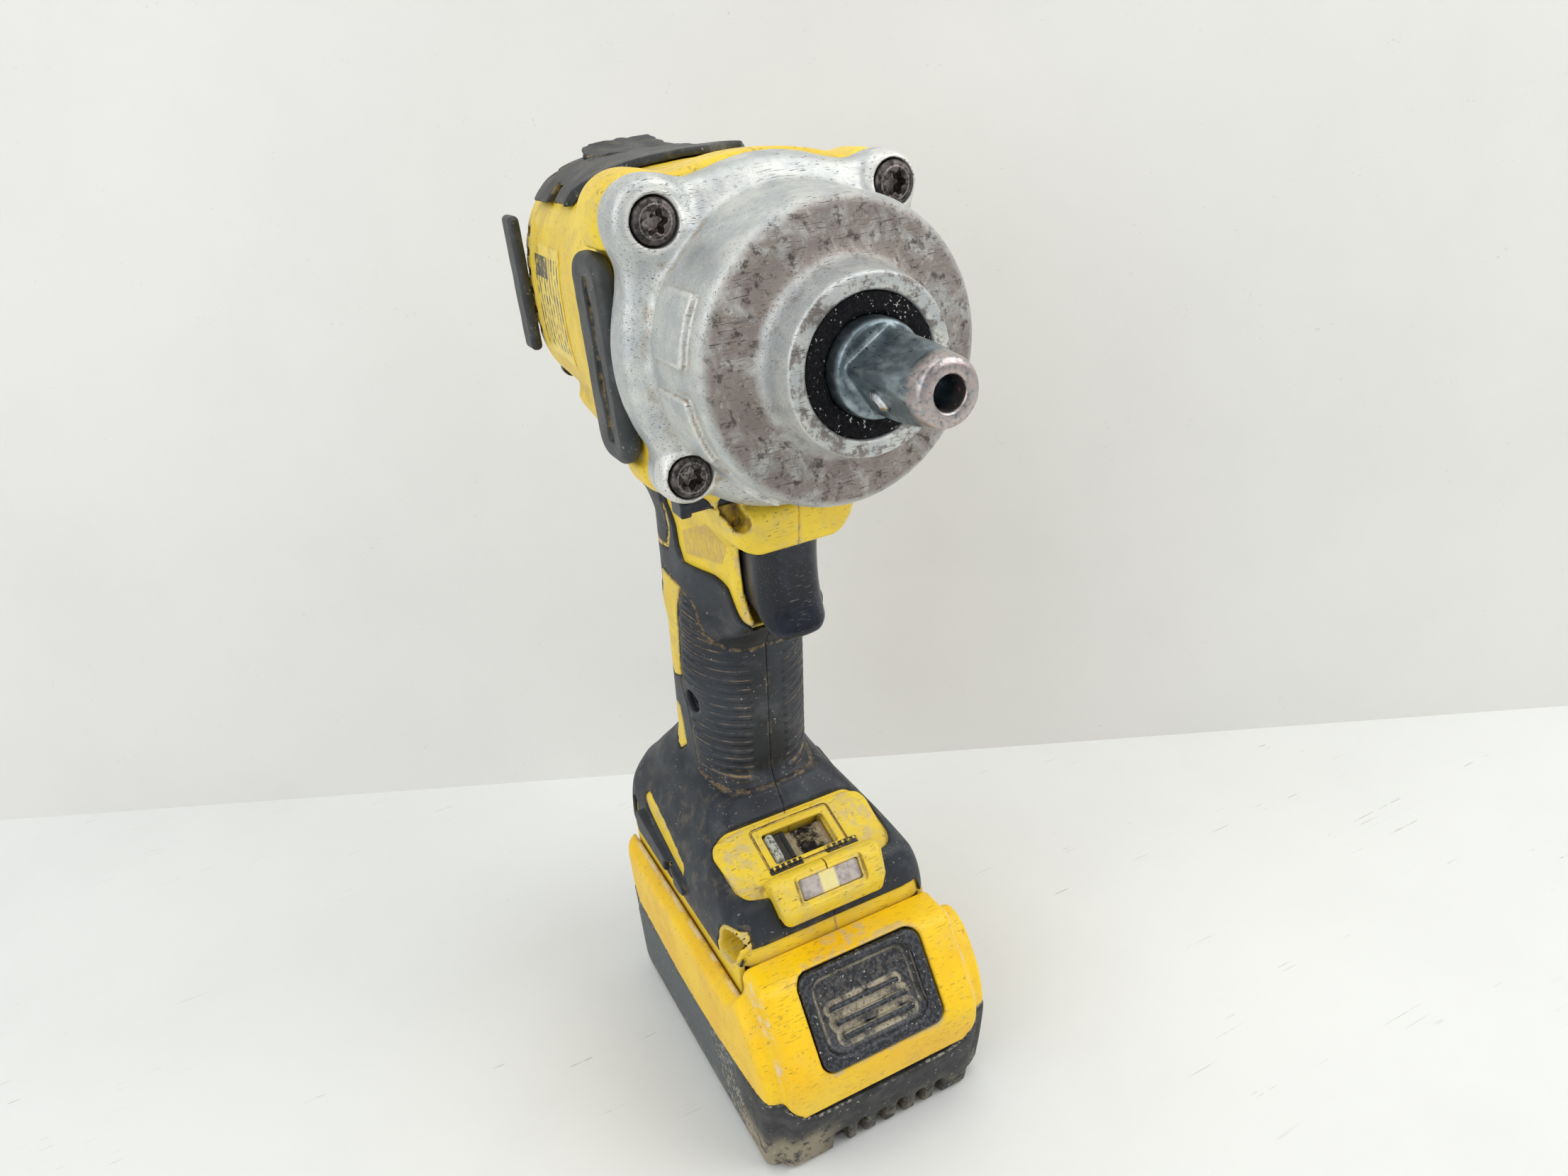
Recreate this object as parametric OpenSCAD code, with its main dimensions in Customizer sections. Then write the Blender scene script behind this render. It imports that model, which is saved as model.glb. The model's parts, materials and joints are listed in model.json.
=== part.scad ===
// Cordless impact wrench with a sliding battery pack, in its rest position.
// X runs forward along the drive, Y to the tool's left and Z up.
// The origin is on the flat underside of the pack, on the centre plane.

/* [Drive] */
// Height of the drive axis above the underside of the pack
axis_z = 239; // [237:1:241]
// Place of the anvil's tip
tip_x = 126; // [125:0.5:127]
// Width across the flats of the square drive
drive_af = 12.7; // [12.6:0.05:12.8]
// Turn of the square drive at rest, from upright towards the right side
drive_turn = 31; // [25:1:40]
// Radius of the anvil's round shank
shank_r = 10; // [9.8:0.1:10.2]

/* [Nose case] */
// Plane where the nose case meets the housing
joint_x = 55; // [54.5:0.25:55.5]
// Front face of the bell
bell_x = 88.9; // [88:0.5:90]
// Front face of the boss round the shank
boss_x = 99.4; // [99:0.2:100]
// Radius of the bell at its front
bell_r = 30.5; // [30:0.25:31]
// Radius of the boss
boss_r = 19; // [18.5:0.25:19.5]
// Radius of the round part of the flange
flange_r = 38.5; // [38:0.25:39]
// Distance of the nose screws from the centre plane
screw_y = 28.1; // [28:0.1:28.3]
// Height of the upper nose screws above the axis
screw_up = 29.1; // [29:0.1:29.3]
// Depth of the lower nose screws below the axis
screw_down = 25.2; // [25:0.1:25.4]

/* [Housing] */
// Rear plane of the clamshell, where the rear cap starts
cap_joint_x = -38; // [-38.5:0.25:-37.5]
// Rear end of the tool
rear_x = -50; // [-51:0.5:-49.5]
// Half width of the barrel at its front
barrel_w = 34; // [33.8:0.1:34.2]
// Radius of the bore that holds the motor and the gear case
barrel_bore_r = 26.3; // [26.2:0.05:26.4]
// Thickness of the rubber skin
rubber = 1.2; // [1:0.1:1.3]
// Depth of the grip from front to back, rubber included
grip_depth = 44; // [43.5:0.5:45]
// Width of the grip, rubber included
grip_width = 36; // [36:0.5:37]
// Forward lean of the grip
grip_rake = 9.5; // [9:0.5:10]
// Half width of the foot
foot_w = 32.3; // [32:0.1:32.5]

/* [Gears] */
// Tooth size as a module
gear_module = 0.75; // [0.75]
// Teeth of the pinion on the rotor shaft
sun_teeth = 12; // [12]
// Teeth of each planet gear
planet_teeth = 21; // [21]
// Play left between meshing flanks
backlash = 0.14; // [0.12:0.01:0.18]

/* [Motor] */
// Radius of the stator
stator_r = 26; // [25.8:0.1:26]
// Radius of the rotor core
rotor_r = 12.9; // [12.6:0.1:12.9]
// Number of stator teeth and coils
coil_count = 6; // [6]

/* [Battery pack] */
// Rear end of the pack
pack_rear = -37; // [-37.5:0.25:-36.5]
// Front end of the pack
pack_front = 82.5; // [82:0.25:83]
// Width of the pack
pack_width = 75; // [74.5:0.5:76]
// Height where the base shell meets the top shell
pack_split = 30; // [29:0.5:31]
// Height of the deck under the tool's foot
deck_z = 50; // [49.8:0.1:50.2]
// Radius of one cell
cell_r = 9.1; // [9:0.05:9.15]
// Length of one cell
cell_length = 65; // [64.5:0.1:65.2]

/* [Hidden] */
$fn = 64;
eps = 0.05;
gap = 0.06;
ring_teeth = sun_teeth + 2 * planet_teeth;
planet_orbit = gear_module * (sun_teeth + planet_teeth) / 2;
pressure_angle = 25;
screw_points = [for (s = [-1, 1]) each [[s * screw_y, screw_up], [s * screw_y, -screw_down]]];
ear_r = 8.6;
ear_face_x = joint_x + 9;
pad_low = -24.3;
pad_high = 23.3;
grip_mid_x = 3.7;
grip_mid_z = 130;
foot_top_z = 62.6;
skirt_y = 31.2;
rail_y = 22.5;
case_screw_points = [[-26, axis_z + 31.2], [30, axis_z + 32], [9, 125], [-27, 71], [50, 70], [32, 205]];
lamp_hood_w = 35;
trigger_slot_y = 9.4;
trigger_w = 18;
case_screw_r = 1.75;
nose_screw_r = 2.45;
// belt hook, rear cap and case screws
belt_hook_x = 8;
belt_hook_z = 67;
belt_hook_r = 1.65;
rear_screw_points = [for (s = [-1, 1]) each [[s * 18.5, 26.5], [s * 20.5, -21.5]]];
// gear case and bearings
bush_r = 13;
gear_x = 26;
planet_width = 7.4;
planet_pin_r = 2.5;
spindle_bearing_r = 17;
spindle_bearing_x = 20.5;
spindle_bearing_w = 5;
spindle_ball_orbit = 13.5;
spindle_ball_r = 1.6;
rotor_bearing_x = [-44.4, 14.7];
rotor_bearing_w = 5;
rotor_ball_orbit = 5.5;
rotor_ball_r = 1.5;
// motor and hammer
stator_x = -28;
stator_length = 24;
hammer_x = 53;
hammer_r = 24.6;
spindle_r = 8.5;
cam_x = 67;
cam_ball_r = 2.5;
detent_x = 110.8;
detent_r = 2.35;
// trigger and terminals
trigger_z = 174;
trigger_back = 38;
switch_face = 28.5;
terminal_y = [-16, -8, 0, 8, 16];
// battery pack
pack_screw_points = [for (s = [-1, 1]) each [[-31.6, s * 29], [70.2, s * 29]]];
pack_screw_r = 1.25;
pack_screw_seat = 3;
pack_boss_r = 3.3;
cell_xs = [for (i = [0 : 4]) -18.6 + 19 * i];
cell_zs = [13, 32.6];

yellow = "#e8c93a";
pack_yellow = "#f2bd16";
rubber_black = "#2c3138";
hard_black = "#1d2024";
steel = "#8d9095";
dark_steel = "#4d5054";
copper = "#b4632c";

// ---- placing ----

// Local Z along the drive axis, from x
module on_axis(x) translate([x, 0, axis_z]) rotate([0, 90, 0]) children();

// A 2D outline seen from the front (Y, height above the axis), drawn from x0 to x1
module along_x(x0, x1) translate([x0, 0, axis_z]) rotate([90, 0, 90]) linear_extrude(x1 - x0) children();

// A 2D outline seen from the front in absolute height
module front_view(x0, x1) translate([x0, 0, 0]) rotate([90, 0, 90]) linear_extrude(x1 - x0) children();

// A 2D side view (X, Z), drawn across the full width w
module side_view(w) rotate([90, 0, 0]) linear_extrude(w, center = true) children();

// A block given by its low and high corners
module block(low, high) translate(low) cube(high - low);

module rod(r, x0, x1) on_axis(x0) cylinder(r = r, h = x1 - x0);

module pipe(r_out, r_in, x0, x1) on_axis(x0) difference() {
  cylinder(r = r_out, h = x1 - x0);
  translate([0, 0, -1]) cylinder(r = r_in, h = x1 - x0 + 2);
}

// The frame of the grip: local Z climbs along the grip, local X is its depth
module in_grip() translate([grip_mid_x, 0, grip_mid_z]) rotate([0, grip_rake, 0]) children();

// A pin across the tool at [x, z], from y0 to y1
module cross_pin(at, r, y0, y1) translate([at.x, y0, at.y]) rotate([-90, 0, 0]) cylinder(r = r, h = y1 - y0);

module mirrored_y() {
  children();
  mirror([0, 1, 0]) children();
}

// ---- outlines ----

module stadium(depth, width) {
  square([depth - width, width], center = true);
  for (s = [-1, 1]) translate([s * (depth - width) / 2, 0]) circle(r = width / 2);
}

module rounded_rect(low, high, r) {
  translate(low + [r, 0]) square(high - low - [2 * r, 0]);
  translate(low + [0, r]) square(high - low - [0, 2 * r]);
  for (x = [low.x + r, high.x - r], y = [low.y + r, high.y - r]) translate([x, y]) circle(r = r);
}

function signed_power(v, e) = sign(v) * pow(abs(v), e);

// Rounded box section of the barrel: half width w, reach up and reach down
function barrel_section(w, up, down) =
  [for (a = [0 : 7.5 : 352.5])
    [w * signed_power(cos(a), 0.72), (a < 180 ? up : down) * signed_power(sin(a), 0.72)]];

module flange_outline() {
  circle(r = flange_r);
  for (p = screw_points) {
    translate(p) circle(r = ear_r);
    rotate(atan2(p.y, p.x)) translate([0, -ear_r]) square([norm(p), 2 * ear_r]);
  }
}

// ---- outer solids of the housing ----

module barrel_solid(skin = 0) intersection() {
  along_x(cap_joint_x, joint_x)
    polygon(barrel_section(barrel_w, 38.5 + skin, 34));
  side_view(100) polygon([
    [cap_joint_x, axis_z - 29], [joint_x, axis_z - 34],
    [joint_x, axis_z + 38.5 + skin], [cap_joint_x, axis_z + 35 + skin]]);
  linear_extrude(400) polygon([
    [cap_joint_x, -29.5], [joint_x, -barrel_w], [joint_x, barrel_w], [cap_joint_x, 29.5]]);
}

// Yellow lobes behind the ears of the nose case, cut away where the side bumpers sit
module lobe_solid() along_x(36, joint_x) difference() {
  flange_outline();
  for (s = [-1, 1]) translate([s * (barrel_w + 5), (pad_low + pad_high) / 2])
    square([10, pad_high - pad_low + 0.2], center = true);
}

module shroud_solid(skin = 0) intersection() {
  side_view(100) polygon([
    [-17 - skin, 215], [joint_x, 215], [joint_x, 197.3], [60, 196.6], [57.6, 186.8], [44.6, 186.2],
    [42.6, 182], [42.6, 172], [44.6, 166.8], [46.5, 161.6], [40, 159.4], [30, 154], [-12 - skin, 154]]);
  front_view(-20, 62) polygon([
    [-29 - skin, 216], [-18.5 - skin, 199], [-16 - skin, 191], [-12 - skin, 184], [-11.6 - skin, 160],
    [-15.5 - skin, 150], [15.5 + skin, 150], [11.6 + skin, 160], [12 + skin, 184], [16 + skin, 191],
    [18.5 + skin, 199], [29 + skin, 216]]);
}

module grip_solid(skin = 0) in_grip() translate([0, 0, -38])
  linear_extrude(118) stadium(grip_depth - 2 * rubber + 2 * skin, grip_width - 2 * rubber + 2 * skin);

module foot_solid(skin = 0) intersection() {
  side_view(100) polygon([
    [-35 - skin, foot_top_z], [56, foot_top_z], [56, 65], [50 + skin, 78], [28 + skin, 86.4 + skin],
    [20, 96 + skin], [-20, 96 + skin], [-31 - skin, 87], [-35 - skin, 78]]);
  front_view(-40, 60) polygon([
    [-foot_w - skin, foot_top_z], [-foot_w - skin, 72], [-27 - skin, 84 + skin], [-17 - skin, 97],
    [17 + skin, 97], [27 + skin, 84 + skin], [foot_w + skin, 72], [foot_w + skin, foot_top_z]]);
  linear_extrude(200) rounded_rect([-35 - skin, -foot_w - skin], [56, foot_w + skin], 11);
}

// Side walls that reach down past the pack's rails, with the rails on their inner faces
module skirt_solid() mirrored_y() {
  block([-33, 28.9, deck_z + 0.5], [54, skirt_y, foot_top_z + 0.5]);
  block([-33, rail_y, deck_z + 2.6], [54, 29, deck_z + 6]);
}

module housing_cavities() {
  rod(barrel_bore_r, cap_joint_x - 1, joint_x + 1);
  in_grip() translate([0, 0, -60]) linear_extrude(142) stadium(36, 28);
  // room behind the trigger, and the slot the trigger moves in
  block([18, -trigger_slot_y, 160.2], [70, trigger_slot_y, 187]);
  block([20, -trigger_slot_y, 186], [44, trigger_slot_y, 199]);
  // passage for the direction lever
  block([45.2, -40, 200.2], [53.4, 40, 205.8]);
  // room for the electronics above the pack's rails
  block([-31, -28.2, foot_top_z - 1], [40, 28.2, 77.5]);
  // window and slot of the mode panel
  in_panel() block([-9, -10.4, -14], [5.2, 10.4, 6]);
  // the rails' clear way out to the front
  block([-40, -rail_y, deck_z], [60, rail_y, foot_top_z]);
  for (p = screw_points) on_axis(20) translate([-p.y, p.x, 0]) cylinder(r = nose_screw_r + gap, h = 50);
}

module case_bosses() {
  for (i = [2, 3]) cross_pin(case_screw_points[i], 4.4, -16.2, 16.2);
}

module case_screw_holes() for (p = case_screw_points) {
  cross_pin(p, case_screw_r + gap, -14.1, 12.2);
  cross_pin(p, 3.6, -60, -14);
}

module housing_shell() difference() {
  union() {
    difference() {
      union() {
        barrel_solid();
        lobe_solid();
        shroud_solid();
        grip_solid();
        foot_solid();
      }
      housing_cavities();
    }
    skirt_solid();
    intersection() {
      case_bosses();
      union() {
        grip_solid();
        foot_solid();
      }
    }
  }
  case_screw_holes();
  // seat of the threaded insert for the belt hook
  cross_pin([belt_hook_x, belt_hook_z], 3, -foot_w - 1, -foot_w + 6);
}

// The frame of the sloped mode panel: local X runs down the slope, local Z is its normal
module in_panel() translate([38, 0, 82.3]) rotate([0, 20.9, 0]) children();

module half_space(side) translate([-100, side < 0 ? -100 : 0, -10]) cube([250, 100, 350]);

module housing_half(side) color(yellow) intersection() {
  housing_shell();
  half_space(side);
}

module housing_right() housing_half(-1);
module housing_left() housing_half(1);

// ---- rubber skins and bumpers ----

// Rubber round the grip, and the ring of rubber over the foot
module grip_rubber() difference() {
  union() {
    foot_solid(rubber);
    intersection() {
      union() {
        grip_solid(rubber);
        shroud_solid(rubber);
      }
      // all round the grip, and up the sides and the back behind the trigger
      side_view(100) polygon([
        [-60, 92], [60, 92], [60, 158], [47.5, 158], [47.5, 162], [43, 165], [38, 171], [19, 174],
        [17, 179], [17, 198], [-60, 198]]);
    }
  }
  union() {
    grip_solid();
    foot_solid();
    shroud_solid();
  }
  // a bare strip along the bottom, higher at the front
  block([-80, -80, 40], [90, 80, foot_top_z + 2.4]);
  block([50, -80, 40], [90, 80, foot_top_z + 5.7]);
  in_panel() block([-13.2, -26.6, -1], [24, 26.6, 20]);
  block([44, -lamp_hood_w / 2 - 0.3, 70], [60, lamp_hood_w / 2 + 0.3, 90]);
  cross_pin(case_screw_points[2], 3.6, -60, 0);
  cross_pin(case_screw_points[3], 3.6, -60, 0);
  cross_pin(case_screw_points[4], 3.6, -60, 0);
  cross_pin([belt_hook_x, belt_hook_z], 5, -60, 0);
}

module grip_rubber_right() color(rubber_black) intersection() {
  grip_rubber();
  half_space(-1);
}

module grip_rubber_left() color(rubber_black) intersection() {
  grip_rubber();
  half_space(1);
}

module barrel_rubber() color(rubber_black) difference() {
  intersection() {
    barrel_solid(rubber + 0.6);
    block([cap_joint_x, -50, axis_z + 31], [33, 50, axis_z + 60]);
  }
  barrel_solid();
  lobe_solid();
  for (i = [0, 1]) cross_pin(case_screw_points[i], 3.6, -60, 0);
}

module front_bumpers() color(rubber_black) along_x(36.2, joint_x - 0.4)
  for (s = [-1, 1]) translate([s * (barrel_w + 2.6), (pad_low + pad_high) / 2])
    square([5, pad_high - pad_low - 0.4], center = true);

module rear_bumpers() color(rubber_black) for (s = [-1, 1])
  along_x(rear_x, cap_joint_x - 3) translate([s * 31.2, 5]) square([3.2, 38], center = true);

// ---- rear cap ----

module rear_cap() color(yellow) difference() {
  intersection() {
    along_x(rear_x + 1, cap_joint_x) polygon(barrel_section(29.5, 35, 29));
    side_view(100) polygon([
      [cap_joint_x, axis_z - 29], [cap_joint_x, axis_z + 35], [rear_x + 3, axis_z + 34],
      [rear_x + 1, axis_z + 30], [rear_x + 1, axis_z - 26]]);
  }
  difference() {
    rod(25, rear_x + 3.5, cap_joint_x + 1);
    rod(10.6, rear_x + 3, -39.4);
  }
  rod(8 + gap, -44.5, cap_joint_x + 1);
  rod(6, rear_x + 4, cap_joint_x + 1);
  // air slots down each side
  for (s = [-1, 1], i = [0 : 5])
    translate([-43.6, s * 27, axis_z + 19 - 5.4 * i]) cube([4.5, 12, 2.4], center = true);
  for (p = rear_screw_points) on_axis(rear_x) translate([-p.y, p.x, 0]) {
    cylinder(r = 1.75 + gap, h = 20);
    translate([0, 0, -1]) cylinder(r = 3.4, h = 4.2);
  }
}

// A pan-head screw along local Z: the head's top is at 0 and the shank points down
module screw(head_r, head_h, shank_r, length) difference() {
  translate([0, 0, -head_h]) union() {
    cylinder(r = head_r, h = head_h);
    translate([0, 0, -length]) cylinder(r = shank_r, h = length + eps);
  }
  // six-lobed driver recess
  translate([0, 0, -head_h * 0.6]) linear_extrude(head_h) {
    circle(r = head_r * 0.34);
    for (a = [0 : 60 : 300]) rotate(a) translate([head_r * 0.36, 0]) circle(r = head_r * 0.13);
  }
}

module rear_cap_screws() color(dark_steel) for (p = rear_screw_points)
  on_axis(rear_x + 1.2) translate([-p.y, p.x, 0]) rotate([180, 0, 0]) screw(3.2, 2, 1.7, 7);

module case_screws() color(dark_steel) for (p = case_screw_points)
  translate([p.x, -16.2, p.y]) rotate([90, 0, 0]) screw(3.4, 2.2, case_screw_r, 26);

// ---- nose case and what it holds ----

module nose_case() color("#c9ccd0") difference() {
  union() {
    along_x(joint_x, ear_face_x) flange_outline();
    // lip below the flange, over the trigger shroud
    along_x(joint_x, joint_x + 6) translate([-18, -41.6]) square([36, 12]);
    on_axis(joint_x) rotate_extrude() polygon([
      [0, 0], [37.5, 0], [37, 6], [34.5, 9.5], [33.2, 13], [32.4, bell_x - joint_x - 4],
      [31.6, bell_x - joint_x - 1.4], [bell_r, bell_x - joint_x], [22, bell_x - joint_x],
      [20.2, bell_x - joint_x + 0.8], [boss_r + 0.3, bell_x - joint_x + 2.6],
      [boss_r, boss_x - joint_x - 1], [boss_r - 0.8, boss_x - joint_x], [0, boss_x - joint_x]]);
  }
  rod(27.2, joint_x - 1, 83.5);
  rod(bush_r, 83, 94.8);
  rod(14.6, 94.7, boss_x + 1);
  for (p = screw_points) on_axis(joint_x) translate([-p.y, p.x, 0]) {
    translate([0, 0, -1]) cylinder(r = nose_screw_r + 0.2, h = 30);
    translate([0, 0, ear_face_x - joint_x - 2.5]) cylinder(r = 5.4, h = 12);
  }
}

module nose_screws() color(dark_steel) for (p = screw_points)
  on_axis(ear_face_x + 2) translate([-p.y, p.x, 0]) screw(4.9, 4.4, nose_screw_r, 27);

module anvil_bush() color("#a98a4a") {
  pipe(bush_r, shank_r + gap, 83.5, 94.8);
  pipe(16, shank_r + gap, 82, 83.5);
}

module felt_washer() color("#17181b") pipe(14.6, shank_r + 0.1, 94.9, boss_x - 0.2);

// ---- gears ----

function involute(a) = tan(a) * 180 / PI - a;

// Half the angle that a tooth takes up at radius r, cut back by the play
function flank_angle(teeth, r, play) =
  90 / teeth + involute(pressure_angle)
  - involute(acos(min(1, teeth * gear_module * cos(pressure_angle) / 2 / r)))
  - play / (2 * r) * 180 / PI;

// Outline of a gear whose first tooth is centred on local X
module gear_outline(teeth, r_root, r_tip, play) {
  r_pitch = teeth * gear_module / 2;
  r_base = r_pitch * cos(pressure_angle);
  r_start = max(r_base + 0.001, r_root);
  radii = [for (k = [0 : 4]) r_start + (r_tip - r_start) * k / 4];
  polygon([for (i = [0 : teeth - 1]) let (mid = 360 * i / teeth) each concat(
    [let (a = mid - flank_angle(teeth, r_start, play)) r_root * [cos(a), sin(a)]],
    [for (k = [0 : 4]) let (a = mid - flank_angle(teeth, radii[k], play)) radii[k] * [cos(a), sin(a)]],
    [for (k = [4 : -1 : 0]) let (a = mid + flank_angle(teeth, radii[k], play)) radii[k] * [cos(a), sin(a)]],
    [let (a = mid + flank_angle(teeth, r_start, play)) r_root * [cos(a), sin(a)]])]);
}

module external_gear(teeth, width) linear_extrude(width)
  gear_outline(teeth, gear_module * (teeth / 2 - 1.25), gear_module * (teeth / 2 + 1), backlash);

module ring_gear() color(steel) difference() {
  rod(25.9, gear_x, gear_x + 14);
  on_axis(gear_x - 1) linear_extrude(16)
    gear_outline(ring_teeth, gear_module * (ring_teeth / 2 - 1), gear_module * (ring_teeth / 2 + 1.25), -backlash);
  rod(21.3, gear_x - 1, gear_x + 2.4);
  rod(21.3, gear_x + 11, gear_x + 15);
}

planet_x0 = gear_x + 3;

module at_planet(i) on_axis(planet_x0) rotate(120 * (i - 1)) translate([planet_orbit, 0, 0]) children();

module planet_gear(i) color(steel) at_planet(i) difference() {
  rotate(180 / planet_teeth + 180) external_gear(planet_teeth, planet_width);
  translate([0, 0, -1]) cylinder(r = planet_pin_r + gap, h = planet_width + 2);
}

module planet_gear_1() planet_gear(1);
module planet_gear_2() planet_gear(2);
module planet_gear_3() planet_gear(3);

module planet_pins() color(dark_steel) for (i = [1 : 3])
  at_planet(i) translate([0, 0, -2.4]) cylinder(r = planet_pin_r, h = 14);

module gear_mount_plate() color("#9a9da1") difference() {
  rod(stator_r + 0.1, 14, gear_x);
  rod(6.4, 13, 30);
  rod(8 + gap, 14.6, 20);
  rod(spindle_bearing_r + gap, 20.4, 30);
}

// ---- ball bearings ----

// Outer ring of a ball bearing from x to x + w; the balls' circle has radius orbit
module outer_ring(r_out, orbit, ball_r, x, w) on_axis(x) difference() {
  cylinder(r = r_out, h = w);
  translate([0, 0, -1]) cylinder(r = orbit + ball_r * 0.55, h = w + 2);
  translate([0, 0, w / 2]) rotate_extrude() translate([orbit, 0]) circle(r = ball_r + 0.04, $fn = 48);
}

module inner_ring(r_in, orbit, ball_r, x, w) on_axis(x) difference() {
  cylinder(r = orbit - ball_r * 0.55, h = w);
  translate([0, 0, -1]) cylinder(r = r_in, h = w + 2);
  translate([0, 0, w / 2]) rotate_extrude() translate([orbit, 0]) circle(r = ball_r + 0.04, $fn = 48);
}

module ball_ring(orbit, ball_r, count, x, w) on_axis(x + w / 2)
  for (i = [0 : count - 1]) rotate(360 * i / count) translate([orbit, 0, 0]) sphere(r = ball_r);

module bearing_outer_rings() color(steel) {
  for (x = rotor_bearing_x) outer_ring(8, rotor_ball_orbit, rotor_ball_r, x, rotor_bearing_w);
  outer_ring(spindle_bearing_r, spindle_ball_orbit, spindle_ball_r, spindle_bearing_x, spindle_bearing_w);
}
module rotor_bearing_inner_rings() color(steel) for (x = rotor_bearing_x)
  inner_ring(3 + gap / 3, rotor_ball_orbit, rotor_ball_r, x, rotor_bearing_w);
module rotor_bearing_balls() color("#d5d8dc") for (x = rotor_bearing_x)
  ball_ring(rotor_ball_orbit, rotor_ball_r, 7, x, rotor_bearing_w);
module spindle_bearing_inner_ring() color(steel)
  inner_ring(10 + gap / 3, spindle_ball_orbit, spindle_ball_r, spindle_bearing_x, spindle_bearing_w);
module spindle_bearing_balls() color("#d5d8dc")
  ball_ring(spindle_ball_orbit, spindle_ball_r, 13, spindle_bearing_x, spindle_bearing_w);

// ---- motor ----

module stator_core() color("#6f7276") on_axis(stator_x) difference() {
  cylinder(r = stator_r, h = stator_length);
  translate([0, 0, -1]) linear_extrude(stator_length + 2) difference() {
    circle(r = 21.5);
    intersection() {
      union() for (i = [0 : coil_count - 1]) rotate(360 * i / coil_count) {
        translate([0, -3.5]) square([30, 7]);
        translate([0, -5.6]) square([14.8, 11.2]);
      }
      difference() {
        circle(r = 40);
        circle(r = rotor_r + 0.4);
      }
    }
  }
}

module stator_windings() color(copper) on_axis(stator_x - 2.6)
  for (i = [0 : coil_count - 1]) rotate(360 * i / coil_count) difference() {
    intersection() {
      translate([15.1, -6.4, 0]) cube([5.9, 12.8, stator_length + 5.2]);
      cylinder(r = 21.3, h = stator_length + 6);
    }
    translate([14, -3.6, 2.5]) cube([12, 7.2, stator_length + 0.2]);
  }

module motor_board() color("#1f5a34") pipe(24.3, 13.5, -34, -32.4);

module rotor_shaft() color("#b9bcc0") {
  rod(3, -45.6, gear_x + 2.6);
  on_axis(gear_x + 2.5) external_gear(sun_teeth, planet_width + 0.9);
}

module rotor_core() color("#585b60") difference() {
  rod(rotor_r, stator_x, stator_x + stator_length);
  rod(3 + gap / 3, stator_x - 1, stator_x + stator_length + 1);
  magnet_slots(0.03);
}

// Four flat magnets round the shaft
module magnet_slots(grow) on_axis(stator_x + 1 - grow) for (a = [45 : 90 : 315]) rotate(a)
  translate([8.4 - grow, -5.6 - grow, 0]) cube([2.2 + 2 * grow, 11.2 + 2 * grow, 22 + 2 * grow]);

module rotor_magnets() color("#a8abb0") magnet_slots(0);

module cooling_fan() color(hard_black) difference() {
  union() {
    rod(8, 1.5, 9);
    rod(24.6, 1.5, 2.7);
    on_axis(2.6) for (i = [0 : 13]) rotate(360 * i / 14) translate([13, 0, 0]) rotate(28)
      translate([-5.5, -0.5, 0]) cube([11.5, 1, 8.6]);
  }
  rod(3 + gap / 3, 0, 14);
}

// ---- impact mechanism ----

module spindle() color("#a2a5a9") difference() {
  union() {
    rod(10, 20.7, 26.4);
    rod(17, 26.3, planet_x0 - 0.4);
    rod(18.5, planet_x0 + planet_width + 0.4, 41);
    rod(21, 41, 44);
    rod(spindle_r, 43, 71.8);
    rod(5.5, 71.7, 84);
    for (i = [1 : 3]) on_axis(26.4) rotate(120 * i + 60) translate([13.5, 0, 0]) cylinder(r = 3.2, h = 14);
  }
  rod(6.2, 20, planet_x0 + planet_width + 1);
  for (i = [1 : 3]) at_planet(i) translate([0, 0, -2.5]) cylinder(r = planet_pin_r + 0.01, h = 14.2);
  // the two V-shaped ball tracks
  for (a = [0, 180]) on_axis(cam_x) rotate(a) {
    translate([spindle_r + 0.1, 0, 0]) sphere(r = cam_ball_r + 0.02);
    for (s = [-1, 1]) translate([spindle_r + 0.1, 0, 0]) rotate([s * 35, 0, 0]) rotate([180, 0, 0])
      cylinder(r = cam_ball_r + 0.02, h = 11);
  }
}

module cam_balls() color("#d5d8dc") for (a = [0, 180])
  on_axis(cam_x) rotate(a) translate([spindle_r + 0.1, 0, 0]) sphere(r = cam_ball_r);

module hammer() color("#8a8d91") difference() {
  union() {
    rod(hammer_r, hammer_x, 71.6);
    // the two striking lugs
    for (s = [-1, 1]) intersection() {
      block([70, -7, axis_z - 30], [78.4, 7, axis_z + 30]);
      pipe(23.9, 12, 70, 79);
      translate([0, -30, s < 0 ? axis_z - 30 : axis_z]) cube([100, 60, 30]);
    }
  }
  rod(spindle_r + gap, hammer_x - 1, 80);
  pipe(21, 12.2, hammer_x - 1, 64);
  for (a = [0, 180]) on_axis(cam_x - 3.2) rotate(a) translate([spindle_r + 0.1, 0, 0])
    cylinder(r = cam_ball_r + 0.15, h = 20);
}

module anvil() color("#6b6e73") difference() {
  union() {
    rod(11.3, 72, 80);
    rod(14.4, 79.4, 81.9);
    block([72, -23.6, axis_z - 6.6], [79.2, 23.6, axis_z + 6.6]);
    rod(shank_r, 80, 103);
    intersection() {
      union() {
        on_axis(102.9) rotate_extrude() polygon([
          [0, 0], [8.6, 0], [8.6, tip_x - 107.9], [8, tip_x - 105.4], [7.1, tip_x - 103.7],
          [6.1, tip_x - 102.9], [0, tip_x - 102.9]]);
      }
      translate([0, 0, axis_z]) rotate([drive_turn, 0, 0])
        translate([100, -drive_af / 2, -drive_af / 2]) cube([40, drive_af, drive_af]);
    }
  }
  rod(5.5 + gap, 71, 85);
  rod(3.35, tip_x - 10, tip_x + 1);
  at_detent(0) cylinder(r = detent_r + gap, h = 20);
}

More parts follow.
